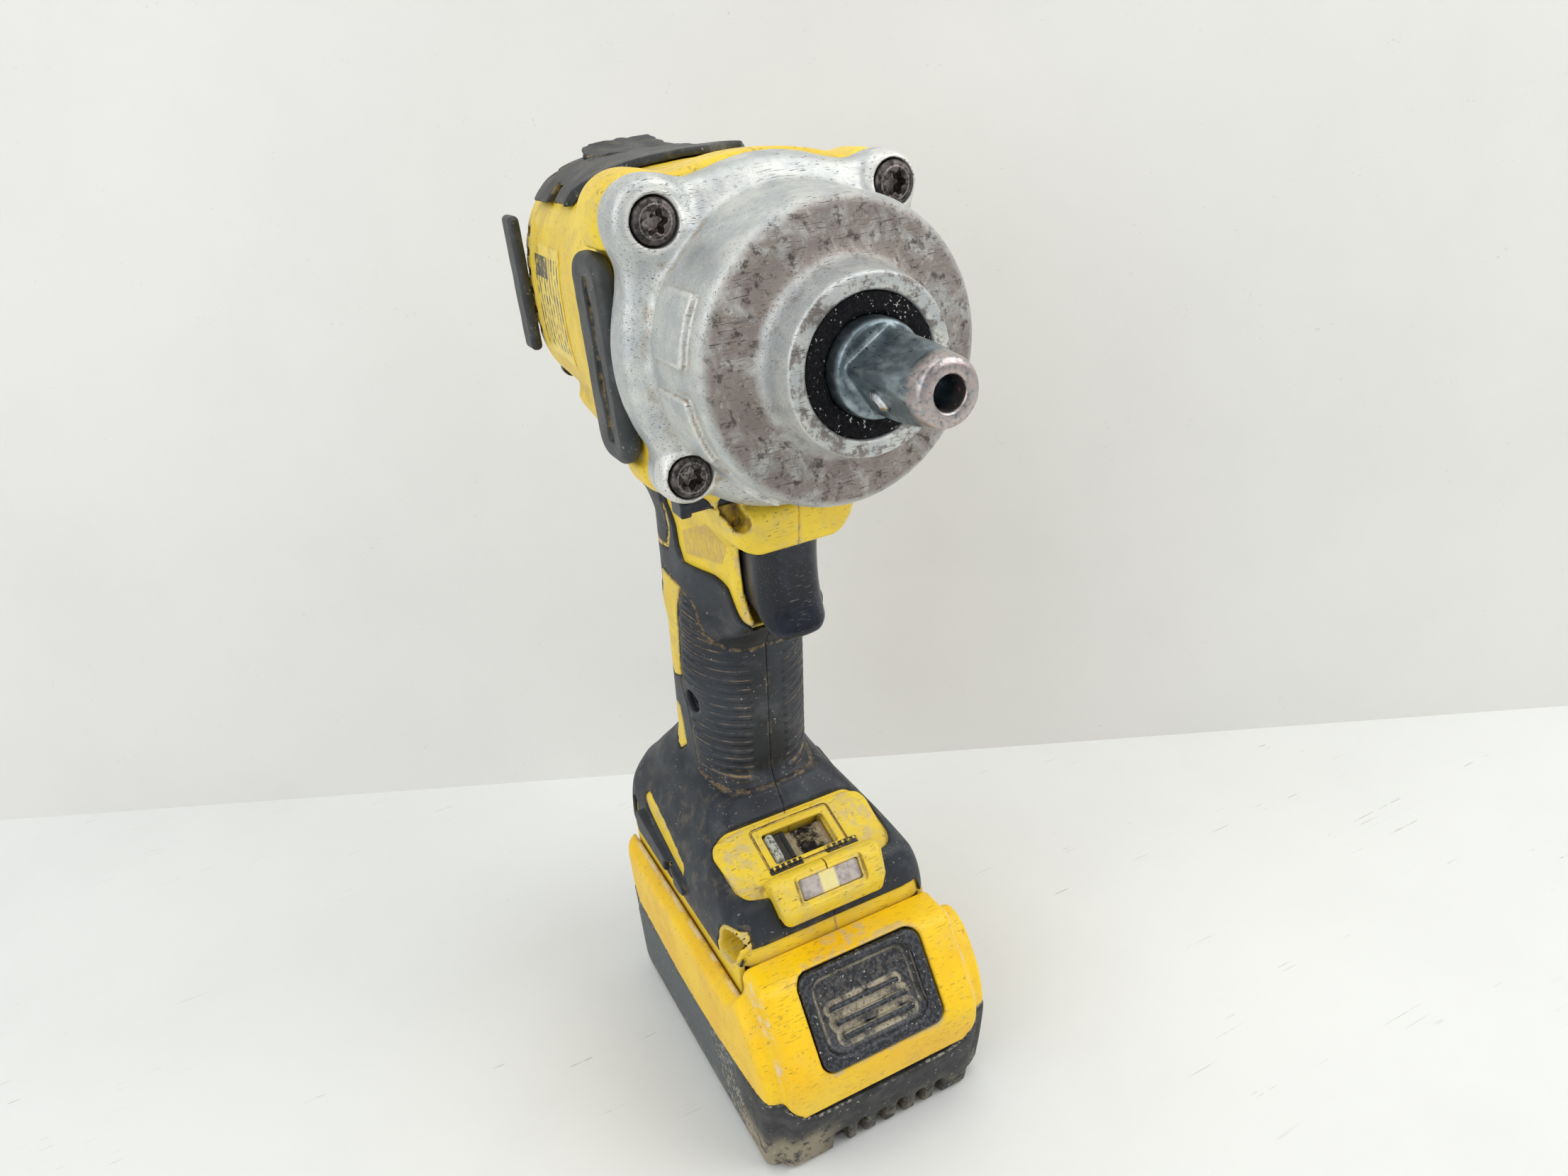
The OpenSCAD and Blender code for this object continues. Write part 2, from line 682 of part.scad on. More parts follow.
// Local Z points out of the flat that holds the detent, starting depth below its face
module at_detent(depth) translate([detent_x, 0, axis_z]) rotate([drive_turn + 90, 0, 0])
  translate([0, 0, depth]) children();

module detent_pin() color("#c4c7cb") at_detent(drive_af / 2 - 3.6) {
  cylinder(r = detent_r, h = 4);
  translate([0, 0, 4]) cylinder(r1 = detent_r, r2 = 1.2, h = 0.8);
}

// ---- springs ----

// A round-wire coil along local Z, from 0 to length
module coil(r, wire_r, length, turns) {
  steps = turns * 20;
  sides = 8;
  rise = length - 2 * wire_r;
  points = [for (i = [0 : steps], k = [0 : sides - 1])
    let (a = 360 * i / 20, b = 360 * k / sides, reach = r + wire_r * cos(b))
    [reach * cos(a), reach * sin(a), wire_r + rise * i / steps + wire_r * sin(b)]];
  faces = concat(
    [for (i = [0 : steps - 1], k = [0 : sides - 1])
      let (n = (k + 1) % sides) [i * sides + k, i * sides + n, (i + 1) * sides + n, (i + 1) * sides + k]],
    [[for (k = [sides - 1 : -1 : 0]) k]],
    [[for (k = [0 : sides - 1]) steps * sides + k]]);
  polyhedron(points = points, faces = [for (f = faces) [for (j = [len(f) - 1 : -1 : 0]) f[j]]]);
}

module hammer_spring() color("#3b3e42") on_axis(44.1) coil(16.6, 1.6, 19.8, 4);

module trigger_spring() color(steel) translate([trigger_back + 0.1, 0, trigger_z]) rotate([0, -90, 0])
  coil(4.6, 0.45, trigger_back - switch_face - 0.2, 5);

module latch_springs() color(steel) in_latch() for (s = [-1, 1])
  translate([0, s * 12, -8.9]) coil(2.6, 0.4, 4.8, 4);

// ---- switch, trigger and direction lever ----

module switch_module() color("#3a3d42") difference() {
  union() {
    in_grip() block([-12.4, -10.8, 33.5], [12.4, 10.8, 62]);
    block([14, -trigger_slot_y + 0.4, 163], [switch_face, trigger_slot_y - 0.4, 185]);
  }
  translate([10, 0, trigger_z]) rotate([0, 90, 0]) cylinder(r = 3 + gap, h = 30);
}

module trigger() color("#20242c") {
  difference() {
    intersection() {
      side_view(trigger_w) polygon([
        [trigger_back, 186.4], [54.2, 186.4], [53.2, 181], [52.8, 174], [53.3, 169], [54.4, 165],
        [55.1, 162.6], [54.8, 161.1], [53.4, 160.5], [48.5, 161.2], [43.5, 163.2], [trigger_back, 166.5]]);
      linear_extrude(300) rounded_rect([30, -trigger_w / 2], [55.4, trigger_w / 2], 4.4);
      block([trigger_back, -20, 150], [80, 20, 200]);
    }
    block([trigger_back - 1, -trigger_w / 2 + 2.2, 168.5], [48.5, trigger_w / 2 - 2.2, 184.5]);
  }
  block([trigger_back, -4.2, 170], [49, 4.2, 178]);
  translate([22, 0, trigger_z]) rotate([0, 90, 0]) cylinder(r = 3, h = trigger_back - 21);
}

module direction_lever() color("#23262b") {
  block([45.5, -25.5, 200.5], [53.1, 18.5, 205.5]);
  block([46.4, -27.2, 201.2], [52.2, -25.4, 204.8]);
  block([46.4, 18.4, 201.2], [52.2, 20.4, 204.8]);
}

// ---- foot ----

module mode_panel() color(yellow) difference() {
  union() {
    in_panel() block([-11.6, -25.4, -3], [11.4, 25.4, 1.8]);
    side_view(lamp_hood_w) polygon([[46, 74], [46, 81], [51, 86.4], [54.5, 85.6], [58.6, 79], [57.6, 73.6], [52, 71]]);
  }
  foot_solid();
  in_panel() block([-7.6, -10.2, -6], [4.9, 10.2, 6]);
  lens_pocket(0.1);
  cross_pin(case_screw_points[4], 3.8, -60, 60);
}

// The lens sits in a sloped pocket in the panel's raised front
module lens_pocket(grow) translate([55.6, 0, 82.2]) rotate([0, 58, 0])
  block([-3 - grow, -9.7 - grow, -1.6 - grow], [3 + grow, 9.7 + grow, 3]);

module led_lens() color([0.9, 0.9, 0.86, 0.6]) translate([55.6, 0, 82.2]) rotate([0, 58, 0])
  block([-3, -9.7, -1.6], [3, 9.7, -0.4]);

module mode_slider() color(hard_black) in_panel() {
  block([-7.2, -9.9, -2.2], [4.5, -3.4, 2.4]);
  block([-3, -8.6, -6.4], [1, -4.6, -2.1]);
}

module control_module() color("#2a4a6a") difference() {
  block([-22, -24, 64.6], [31, 24, 74.4]);
  cross_pin(case_screw_points[3], 5, -30, 30);
}

module motor_leads() color("#a83232") for (s = [-1, 0, 1]) in_grip()
  translate([-15.5, 3 * s, -48]) cylinder(r = 1.1, h = 120, $fn = 24);

module terminal_block() color(hard_black) block([-32.5, -21.8, deck_z + 1.2], [-18, 21.8, deck_z + 11.6]);

module tool_terminals() color("#c9a24a") for (y = terminal_y)
  block([-18, y - 0.4, deck_z + 3], [6, y + 0.4, deck_z + 9]);

module belt_hook_insert() color("#b8923a") difference() {
  cross_pin([belt_hook_x, belt_hook_z], 2.98, -foot_w - 0.3, -foot_w + 5.6);
  cross_pin([belt_hook_x, belt_hook_z], belt_hook_r, -foot_w - 2, -foot_w + 7);
}

module rating_label() color("#e6cf55") difference() {
  translate([0, 0, axis_z]) linear_extrude(30, center = true) polygon([
    [-32, -29.9 - 0.35], [0, -31.5 - 0.35], [0, -28], [-32, -28]]);
  barrel_solid();
}

// ---- battery pack ----

function pack_side(low, high) = [
  [pack_rear, low], [pack_front - 9, low], [pack_front - 6.5, 14], [pack_front - 1.5, 30],
  [pack_front, 38], [pack_front - 0.3, 41], [pack_front - 14.6, high], [56.4, high - 1.6], [pack_rear, high - 1.6]];

module pack_plan(inset) linear_extrude(100)
  rounded_rect([pack_rear + inset, inset - pack_width / 2], [pack_front - inset, pack_width / 2 - inset], 10 - inset);

module pack_solid() intersection() {
  side_view(100) polygon(pack_side(0, 64.6));
  pack_plan(0);
  front_view(pack_rear - 1, pack_front + 1) polygon([
    [-35.5, 0], [-37.5, 6], [-37.5, 48], [-35.6, 53], [-31.7, 54.6], [-31.7, 64.7],
    [31.7, 64.7], [31.7, 54.6], [35.6, 53], [37.5, 48], [37.5, 6], [35.5, 0]]);
}

module pack_cavity() intersection() {
  side_view(70.2) polygon([
    [pack_rear + 2.4, 2.5], [71, 2.5], [73, 14], [73, 30], [66, 44], [62, deck_z - 2.4],
    [pack_rear + 2.4, deck_z - 2.4]]);
  pack_plan(2.4);
}

// The frame of the latch: local X runs down the pack's sloped front, local Z is its normal
module in_latch() translate([75, 0, 52.8]) rotate([0, 58.6, 0]) children();

module pack_screw_holes() for (p = pack_screw_points) translate([p.x, p.y, -1]) {
  cylinder(r = pack_screw_r + gap, h = 40);
  cylinder(r = 2.6, h = pack_screw_seat + 1);
}

// Posts that take the pack's screws, from z0 to z1
module pack_bosses(z0, z1) intersection() {
  for (p = pack_screw_points) translate([p.x, p.y, z0]) cylinder(r = pack_boss_r, h = z1 - z0);
  pack_solid();
}

module battery_screws() color(dark_steel) for (p = pack_screw_points)
  translate([p.x, p.y, pack_screw_seat - 1.8]) rotate([180, 0, 0]) screw(2.4, 1.7, pack_screw_r, 32);

module battery_base_shell() color(rubber_black) difference() {
  union() {
    intersection() {
      difference() {
        pack_solid();
        pack_cavity();
      }
      block([-60, -60, -1], [100, 60, pack_split]);
    }
    pack_bosses(0, pack_split);
  }
  pack_screw_holes();
  // notches along the lower front edge
  for (i = [-2 : 2]) translate([pack_front - 7, 5.2 * i, 3.4]) cube([5, 2.6, 9], center = true);
}

module battery_top_shell() color(pack_yellow) difference() {
  union() {
    intersection() {
      difference() {
        pack_solid();
        pack_cavity();
        // channel that takes the tool's foot
        block([-60, -skirt_y - 0.6, deck_z], [56.3, skirt_y + 0.6, 90]);
      }
      block([-60, -60, pack_split], [100, 60, 90]);
    }
    // rail block
    block([-12, -22, deck_z - 1], [56.4, 22, deck_z + 6.5]);
    block([-12, -27, deck_z + 6.4], [56.4, 27, deck_z + 11.6]);
    pack_bosses(pack_split, 42);
  }
  pack_screw_holes();
  for (y = terminal_y) block([-13, y - 1.3, deck_z + 2.4], [12, y + 1.3, deck_z + 9.8]);
  in_latch() block([-14.4, -20.2, -9], [14.5, 20.2, 8]);
  block([46.4, -6.6, deck_z + 3.2], [72, 6.6, deck_z + 11.2]);
  block([46.4, -6.6, deck_z + 11], [56.4, 6.6, deck_z + 13]);
}

module latch_button() color(hard_black) {
  in_latch() difference() {
    block([-13.9, -19.7, -4], [14.1, 19.7, 0.3]);
    translate([0, 0, -2.6]) linear_extrude(5) rounded_rect([-9, -14], [10, 14], 4);
  }
  in_latch() for (i = [-1 : 1]) translate([4 * i + 1.5, 0, -2.4]) cube([1.6, 20, 1.4], center = true);
  // arm back to the tooth that locks the pack
  block([50, -6, deck_z + 6.6], [67.5, 6, deck_z + 9.6]);
  block([50, -6, deck_z + 9.5], [54, 6, deck_z + 12]);
}

module battery_cells() color("#4a8f6a") for (x = cell_xs, z = cell_zs)
  cross_pin([x, z], cell_r, -cell_length / 2, cell_length / 2);

module cell_holder() color("#55585c") difference() {
  for (s = [-1, 1]) translate([0, s * 25, 0]) block([-27.9, -4, 3], [66.4, 4, 42.4]);
  for (x = cell_xs, z = cell_zs) cross_pin([x, z], cell_r + gap / 2, -40, 40);
}

module battery_board() color("#1f5a34") block([-22, -26, 44.6], [54, 26, 46.2]);

module battery_terminals() color("#c9a24a") for (y = terminal_y, s = [-1, 1])
  translate([0, y + s * 0.85, 0]) block([-4, -0.2, deck_z + 2.6], [8, 0.2, deck_z + 9.4]);

// ---- drawing ----

housing_right();
housing_left();
grip_rubber_right();
grip_rubber_left();
barrel_rubber();
front_bumpers();
rear_cap();
rear_bumpers();
rear_cap_screws();
nose_case();
nose_screws();
case_screws();
anvil_bush();
felt_washer();
ring_gear();
gear_mount_plate();
stator_core();
stator_windings();
motor_board();
bearing_outer_rings();
switch_module();
trigger_spring();
control_module();
motor_leads();
led_lens();
mode_panel();
terminal_block();
tool_terminals();
belt_hook_insert();
rating_label();
spindle();
planet_pins();
cam_balls();
spindle_bearing_inner_ring();
planet_gear_1();
planet_gear_2();
planet_gear_3();
hammer();
hammer_spring();
rotor_shaft();
rotor_core();
rotor_magnets();
cooling_fan();
rotor_bearing_inner_rings();
rotor_bearing_balls();
spindle_bearing_balls();
anvil();
detent_pin();
trigger();
direction_lever();
mode_slider();
battery_top_shell();
battery_base_shell();
battery_screws();
battery_cells();
cell_holder();
battery_board();
battery_terminals();
latch_button();
latch_springs();
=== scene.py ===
"""Looks of a cordless impact wrench: shells, rubber and cast metal are meshed from distance fields
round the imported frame. Fields work in millimetres; objects are in metres."""
import json
import math

import bpy
import numpy as np
from mathutils import Matrix, Vector


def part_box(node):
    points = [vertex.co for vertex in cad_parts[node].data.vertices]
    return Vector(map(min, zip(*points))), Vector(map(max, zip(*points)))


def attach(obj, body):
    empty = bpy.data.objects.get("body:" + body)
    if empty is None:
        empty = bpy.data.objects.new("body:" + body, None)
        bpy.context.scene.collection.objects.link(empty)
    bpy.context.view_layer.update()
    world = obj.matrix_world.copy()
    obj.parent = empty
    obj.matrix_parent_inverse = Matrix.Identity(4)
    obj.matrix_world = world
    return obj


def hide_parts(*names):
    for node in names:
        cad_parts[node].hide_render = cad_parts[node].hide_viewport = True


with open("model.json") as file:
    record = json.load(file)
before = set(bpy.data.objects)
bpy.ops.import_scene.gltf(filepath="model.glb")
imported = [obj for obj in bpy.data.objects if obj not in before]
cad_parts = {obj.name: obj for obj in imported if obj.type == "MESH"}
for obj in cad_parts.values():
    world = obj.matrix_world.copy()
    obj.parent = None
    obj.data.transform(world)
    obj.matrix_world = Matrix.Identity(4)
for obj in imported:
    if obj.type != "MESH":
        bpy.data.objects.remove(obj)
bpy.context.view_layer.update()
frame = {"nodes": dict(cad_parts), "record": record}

MM = 0.001


def box_mm(node):
    """Lowest and highest corner of a CAD node in millimetres."""
    low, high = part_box(node)
    return np.array(low) / MM, np.array(high) / MM


# ---- driving dimensions, the first ones read from the frame ----

AXIS_Z = sum(box_mm("rotor_core")[i][2] for i in (0, 1)) / 2
JOINT_X = box_mm("nose_case")[0][0]
CASE_X = box_mm("nose_case")[1][0]
TIP_X = box_mm("anvil")[1][0]
CAP_X = box_mm("rear_cap")[1][0]
REAR_X = box_mm("rear_bumpers")[0][0]
PACK_LOW = box_mm("battery_base_shell")[0]
PACK_HIGH = np.maximum(box_mm("battery_base_shell")[1], box_mm("battery_top_shell")[1])
SCREWS = [(s * 28.1, h) for s in (-1, 1) for h in (29.1, -25.2)]
PAD_LOW, PAD_HIGH = -24.3, 23.3
DECK_Z = 50.0
FOOT_LOW_Z = 62.6
SLOT_Y = 9.4


# ---- distance fields ----

def union(a, b, k):
    """Union with a fillet about k wide."""
    h = np.maximum(k - np.abs(a - b), 0) / k
    return np.minimum(a, b) - h * h * k / 4


def cut(a, b, r):
    """Intersection with its edge rounded to radius r."""
    return np.minimum(np.maximum(a, b), -r) + np.hypot(np.maximum(a + r, 0), np.maximum(b + r, 0))


def minus(a, b, r):
    """a without b, with a rounded rim."""
    return cut(a, -b, r)


def rect(u, v, half_u, half_v, r):
    """Rounded rectangle."""
    du = np.abs(u) - half_u + r
    dv = np.abs(v) - half_v + r
    return np.minimum(np.maximum(du, dv), 0) + np.hypot(np.maximum(du, 0), np.maximum(dv, 0)) - r


def span(u, v, low_u, high_u, low_v, high_v, r):
    """Rounded rectangle given by its limits."""
    return rect(u - (low_u + high_u) / 2, v - (low_v + high_v) / 2, (high_u - low_u) / 2, (high_v - low_v) / 2, r)


def convex(u, v, points, r):
    """Convex outline with anticlockwise points and rounded corners."""
    d = None
    for (u0, v0), (u1, v1) in zip(points, points[1:] + points[:1]):
        plane = ((u - u0) * (v1 - v0) - (v - v0) * (u1 - u0)) / math.hypot(u1 - u0, v1 - v0)
        d = plane if d is None else cut(d, plane, r)
    return d


def polygon(u, v, points):
    """Exact signed distance to any outline."""
    best = np.full(u.shape, 1e9, u.dtype)
    inside = np.zeros(u.shape, bool)
    for (u0, v0), (u1, v1) in zip(points, points[1:] + points[:1]):
        eu, ev = u1 - u0, v1 - v0
        wu, wv = u - u0, v - v0
        t = np.clip((wu * eu + wv * ev) / (eu * eu + ev * ev), 0, 1)
        best = np.minimum(best, (wu - eu * t) ** 2 + (wv - ev * t) ** 2)
        if ev:
            inside ^= ((v0 > v) != (v1 > v)) & (u < eu * (v - v0) / ev + u0)
    return np.where(inside, -1, 1) * np.sqrt(best)


def block(x, y, z, low, high, r):
    """Rounded box."""
    d = [np.abs(c - (a + b) / 2) - (b - a) / 2 + r for c, a, b in zip((x, y, z), low, high)]
    out = np.sqrt(sum(np.maximum(c, 0) ** 2 for c in d))
    return out + np.minimum(np.maximum(np.maximum(d[0], d[1]), d[2]), 0) - r


def segment(u, v, a, b):
    """Distance to a line from a to b."""
    eu, ev = b[0] - a[0], b[1] - a[1]
    t = np.clip(((u - a[0]) * eu + (v - a[1]) * ev) / (eu * eu + ev * ev), 0, 1)
    return np.hypot(u - a[0] - eu * t, v - a[1] - ev * t)


def curve(u, v, points, steps=6):
    """Distance to a smooth line through the points."""
    p = np.array(points, float)
    p = np.vstack([2 * p[0] - p[1], p, 2 * p[-1] - p[-2]])
    line = []
    for i in range(1, len(p) - 2):
        for t in np.arange(steps) / steps:
            c = 2 * p[i] + (p[i + 1] - p[i - 1]) * t
            c = c + (2 * p[i - 1] - 5 * p[i] + 4 * p[i + 1] - p[i + 2]) * t * t
            line.append((c + (3 * p[i] - p[i - 1] - 3 * p[i + 1] + p[i + 2]) * t ** 3) / 2)
    line.append(p[-2])
    d = np.full(u.shape, 1e9)
    for a, b in zip(line[:-1], line[1:]):
        d = np.minimum(d, segment(u, v, a, b))
    return d


def tilted(x, z, at, degrees):
    """Coordinates along and across a plane that leans by degrees about Y."""
    c, s = math.cos(math.radians(degrees)), math.sin(math.radians(degrees))
    dx, dz = x - at[0], z - at[1]
    return dx * c - dz * s, dx * s + dz * c


def ramp(v, low, high):
    """Smooth step from 0 at low to 1 at high."""
    t = np.clip((v - low) / (high - low), 0, 1)
    return t * t * (3 - 2 * t)


def lattice(ix, iy, iz, seed):
    """Repeatable value from 0 to 1 for each lattice point."""
    h = (ix * 374761393 + iy * 668265263 + iz * 2147483647 + seed * 974634777).astype(np.int64)
    h = (h ^ (h >> 13)) * 1274126177
    h = h ^ (h >> 16)
    return (h & 0xFFFF) / 65535.0


def noise(x, y, z, size, seed=0):
    """Smooth noise from -1 to 1 with features of this size in millimetres."""
    p = [c / size + 100.3 for c in (x, y, z)]
    i = [np.floor(c).astype(np.int64) for c in p]
    f = [c - k for c, k in zip(p, i)]
    f = [c * c * (3 - 2 * c) for c in f]
    total = 0
    for a in (0, 1):
        for b in (0, 1):
            for c in (0, 1):
                weight = (f[0] if a else 1 - f[0]) * (f[1] if b else 1 - f[1]) * (f[2] if c else 1 - f[2])
                total = total + weight * lattice(i[0] + a, i[1] + b, i[2] + c, seed)
    return total * 2 - 1


# ---- meshing a field ----

def sample(field, low, counts, step):
    """Field values on a grid, worked out in full only near the surface."""
    k = 6
    blocks = [-(-(n - 1) // k) for n in counts]
    centre = [low[i] + (np.arange(blocks[i]) + 0.5) * k * step for i in range(3)]
    coarse = field(*np.meshgrid(*centre, indexing="ij"))
    near = np.abs(coarse) < k * step * 0.87 * 1.5 + 0.5
    grow = lambda a: a.repeat(k, 0).repeat(k, 1).repeat(k, 2)
    values = grow(coarse)
    values = np.pad(values, [(0, 1)] * 3, mode="edge")
    mask = np.pad(grow(near), [(0, 1)] * 3, mode="edge")
    for axis in range(3):
        shifted = np.roll(mask, 1, axis)
        mask |= shifted
    index = np.nonzero(mask)
    points = [low[i] + index[i] * step for i in range(3)]
    values[index] = field(*points)
    return values


def gradient(field, p, h=0.02):
    """Direction in which the field grows."""
    g = np.empty_like(p)
    for i in range(3):
        a, b = p.copy(), p.copy()
        a[:, i] += h
        b[:, i] -= h
        g[:, i] = field(*a.T) - field(*b.T)
    return g / (2 * h)


def surface_net(values):
    """Vertices (grid units) and quads of the zero surface."""
    inside = values < 0
    shape = np.array(values.shape) - 1
    total = np.zeros((int(shape.prod()), 3))
    count = np.zeros(int(shape.prod()), np.int32)
    edges = []
    stride = np.array([shape[1] * shape[2], shape[2], 1])
    for axis in range(3):
        a = [slice(None)] * 3
        b = [slice(None)] * 3
        a[axis], b[axis] = slice(0, -1), slice(1, None)
        a, b = tuple(a), tuple(b)
        at = np.nonzero(inside[a] != inside[b])
        v0, v1 = values[a][at], values[b][at]
        point = np.stack(at, 1).astype(float)
        point[:, axis] += v0 / (v0 - v1)
        base = np.stack(at, 1)
        others = [i for i in range(3) if i != axis]
        keep = np.all([(base[:, o] > 0) & (base[:, o] < shape[o]) for o in others], axis=0)
        base, point, first = base[keep], point[keep], inside[a][at][keep]
        ring = []
        for d0, d1 in ((-1, -1), (0, -1), (0, 0), (-1, 0)):
            cell = base.copy()
            cell[:, others[0]] += d0
            cell[:, others[1]] += d1
            ring.append(cell @ stride)
        ring = np.stack(ring, 1)
        for c in ring.T:
            for i in range(3):
                total[:, i] += np.bincount(c, point[:, i], len(total))
            count += np.bincount(c, minlength=len(count)).astype(np.int32)
        flip = first if axis != 1 else ~first
        ring[~flip] = ring[~flip][:, ::-1]
        edges.append(ring)
    used = count > 0
    number = np.full(len(count), -1)
    number[used] = np.arange(int(used.sum()))
    return total[used] / count[used, None], number[np.concatenate(edges)]


def link(obj):
    bpy.context.scene.collection.objects.link(obj)
    return obj


def field_mesh(name, field, low, high, step, reach=2.5, inlay=None):
    """A closed smooth mesh of a field, with how hollow and how sharp each place is."""
    low = np.array(low, float) - 1.5 * step
    counts = [int(math.ceil((h + 1.5 * step - l) / step / 6)) * 6 + 1 for l, h in zip(low, high)]
    verts, quads = surface_net(sample(field, low, counts, step))
    p = low + verts * step
    for _ in range(3):
        g = gradient(field, p)
        size = np.maximum((g * g).sum(1), 0.2)
        move = -field(*p.T)[:, None] * g / size[:, None]
        length = np.linalg.norm(move, axis=1, keepdims=True)
        p = p + move * np.minimum(1, 0.4 * step / np.maximum(length, 1e-9))
    g = gradient(field, p, 0.15)
    normal = g / np.maximum(np.linalg.norm(g, axis=1, keepdims=True), 1e-6)
    outside = field(*(p + normal * reach).T) / reach
    inner = -field(*(p - normal * reach * 0.4).T) / (reach * 0.4)
    mesh = bpy.data.meshes.new(name)
    mesh.from_pydata((p * MM).tolist(), [], quads.tolist())
    values = [("hollow", 1 - outside), ("edge", 1 - inner)]
    if inlay:
        values.append(("inlay", inlay(*p.T)))
    for label, value in values:
        mesh.attributes.new(label, "FLOAT", "POINT").data.foreach_set(
            "value", np.clip(value, 0, 1).astype(np.float32))
    mesh.shade_smooth()
    return link(bpy.data.objects.new(name, mesh))


# ---- shapes of the tool ----

def section(x, y, z, skin=0.0):
    """Rounded box section of the motor barrel, tapering to the rear; skin stands on its top."""
    t = np.clip((x - CAP_X) / (JOINT_X - CAP_X), -0.2, 1)
    width = 29.5 + 4.5 * t
    reach = np.where(z > AXIS_Z, 35 + 3.5 * t + skin, 29 + 5 * t)
    q = ((np.abs(y) / width) ** 2.8 + (np.abs(z - AXIS_Z) / reach) ** 2.8) ** (1 / 2.8)
    return (q - 1) * np.minimum(width, reach) * 0.95


def barrel(x, y, z, skin=0.0):
    return cut(section(x, y, z, skin), np.abs(x - (CAP_X + JOINT_X) / 2) - (JOINT_X - CAP_X) / 2, 0.5)


def ear_trim(y, z):
    """How much smaller the screw ears are: only the upper right one is full size."""
    dz = z - AXIS_Z
    return 2.2 * np.maximum(ramp(-dz, 0, 14), ramp(y, 0, 14))


def flange(y, z, ear=8.6, round_r=38.5, fillet=11):
    """Outline shared by the nose case and the housing's front rim."""
    dz = z - AXIS_Z
    ear = ear - ear_trim(y, z)
    d = np.hypot(y, dz) - round_r
    fillet = fillet - 7 * ramp(-dz, 0, 14)
    for sy, sz in SCREWS:
        d = union(d, segment(y, dz, (sy * 0.55, sz * 0.55), (sy, sz)) - ear, fillet)
    return d


def side_pads(y, z, grow=0.0):
    """Outline of the side bumpers seen from the front."""
    mid = (PAD_LOW + PAD_HIGH) / 2
    return rect(np.abs(y) - 39.3, z - AXIS_Z - mid, 5.2 + grow, (PAD_HIGH - PAD_LOW) / 2 + grow, 2.0)


def lobes(x, y, z):
    """Front rim of the housing behind the flange, with a bulge behind each screw ear."""
    rim = cut(flange(y, z) + 0.25, np.abs(x - 49) - (JOINT_X - 49), 2.2)
    dz = z - AXIS_Z
    bulges = np.full(x.shape, 1e3)
    for sy, sz in SCREWS:
        bulges = np.minimum(bulges, cut(segment(y, dz, (sy * 0.8, sz * 0.8), (sy, sz)) - 8.4 + ear_trim(y, z) + ramp(y, 0, 14),
                                        np.abs(x - 46) - (JOINT_X - 46), 4.5))
    return minus(union(rim, bulges, 5), side_pads(y, z, 0.15), 0.8)


def shroud(x, y, z):
    """Trigger shroud between the barrel and the grip."""
    half = np.interp(z, [150, 160, 184, 188, 191, 198, 204, 216], [15.5, 11.5, 11.9, 14.4, 16.2, 18.2, 22.5, 29])
    side = polygon(x, z, [(-15, 216), (53.6, 216), (53.8, 199.2), (57.6, 196.8), (55.8, 188.7), (44, 188.2),
                          (40.6, 183), (40.4, 171), (43.2, 165.6), (44.8, 163.4), (39.5, 161.4), (29.5, 156),
                          (-10.4, 156)]) - 2.0
    return cut(side, (np.abs(y) - half) * 0.9, 4.4)


def grip(x, y, z, skin=0.0):
    u, w = tilted(x, z, (3.7, 130), 9.5)
    return cut(rect(u, y, 20.8 + skin, 16.8 + skin, 16.6 + skin), np.abs(w - 20) - 59, 1.0)


def foot(x, y, z, skin=0.0):
    """Broad foot that carries the electronics and slides on the pack."""
    side = polygon(x, z, [(-31.5, DECK_Z), (52.5, DECK_Z), (52.5, 64.6), (47.4, 75.3), (25.5, 83.9), (18.1, 93),
                          (-18.5, 93), (-28.1, 85.5), (-31.5, 77)]) - 4.0
    front = convex(y, z, [(-32.8, FOOT_LOW_Z - 9), (32.8, FOOT_LOW_Z - 9), (32.8, 73), (27.4, 84.6), (17, 98),
                          (-17, 98), (-27.4, 84.6), (-32.8, 73)], 5.0)
    plan = span(x, y, -35.5, 56.5, -32.8, 32.8, 11)
    low = FOOT_LOW_Z - z
    return cut(cut(cut(side, front, 4.5), plan, 2.5), low, 0.6) - skin


def grip_and_foot(x, y, z, skin):
    """Outer form of the rubber: the grip flares into the foot."""
    u, w = tilted(x, z, (3.7, 130), 9.5)
    k = 9 + 9 * ramp(-u, -8, 14)
    return union(grip(x, y, z, skin), foot(x, y, z, skin), k)


def tool_form(x, y, z, skin=0.0):
    """Outer form of the whole clamshell under its rubber."""
    head = union(union(barrel(x, y, z), lobes(x, y, z), 4), shroud(x, y, z), 5)
    return union(head, grip_and_foot(x, y, z, skin), 7)


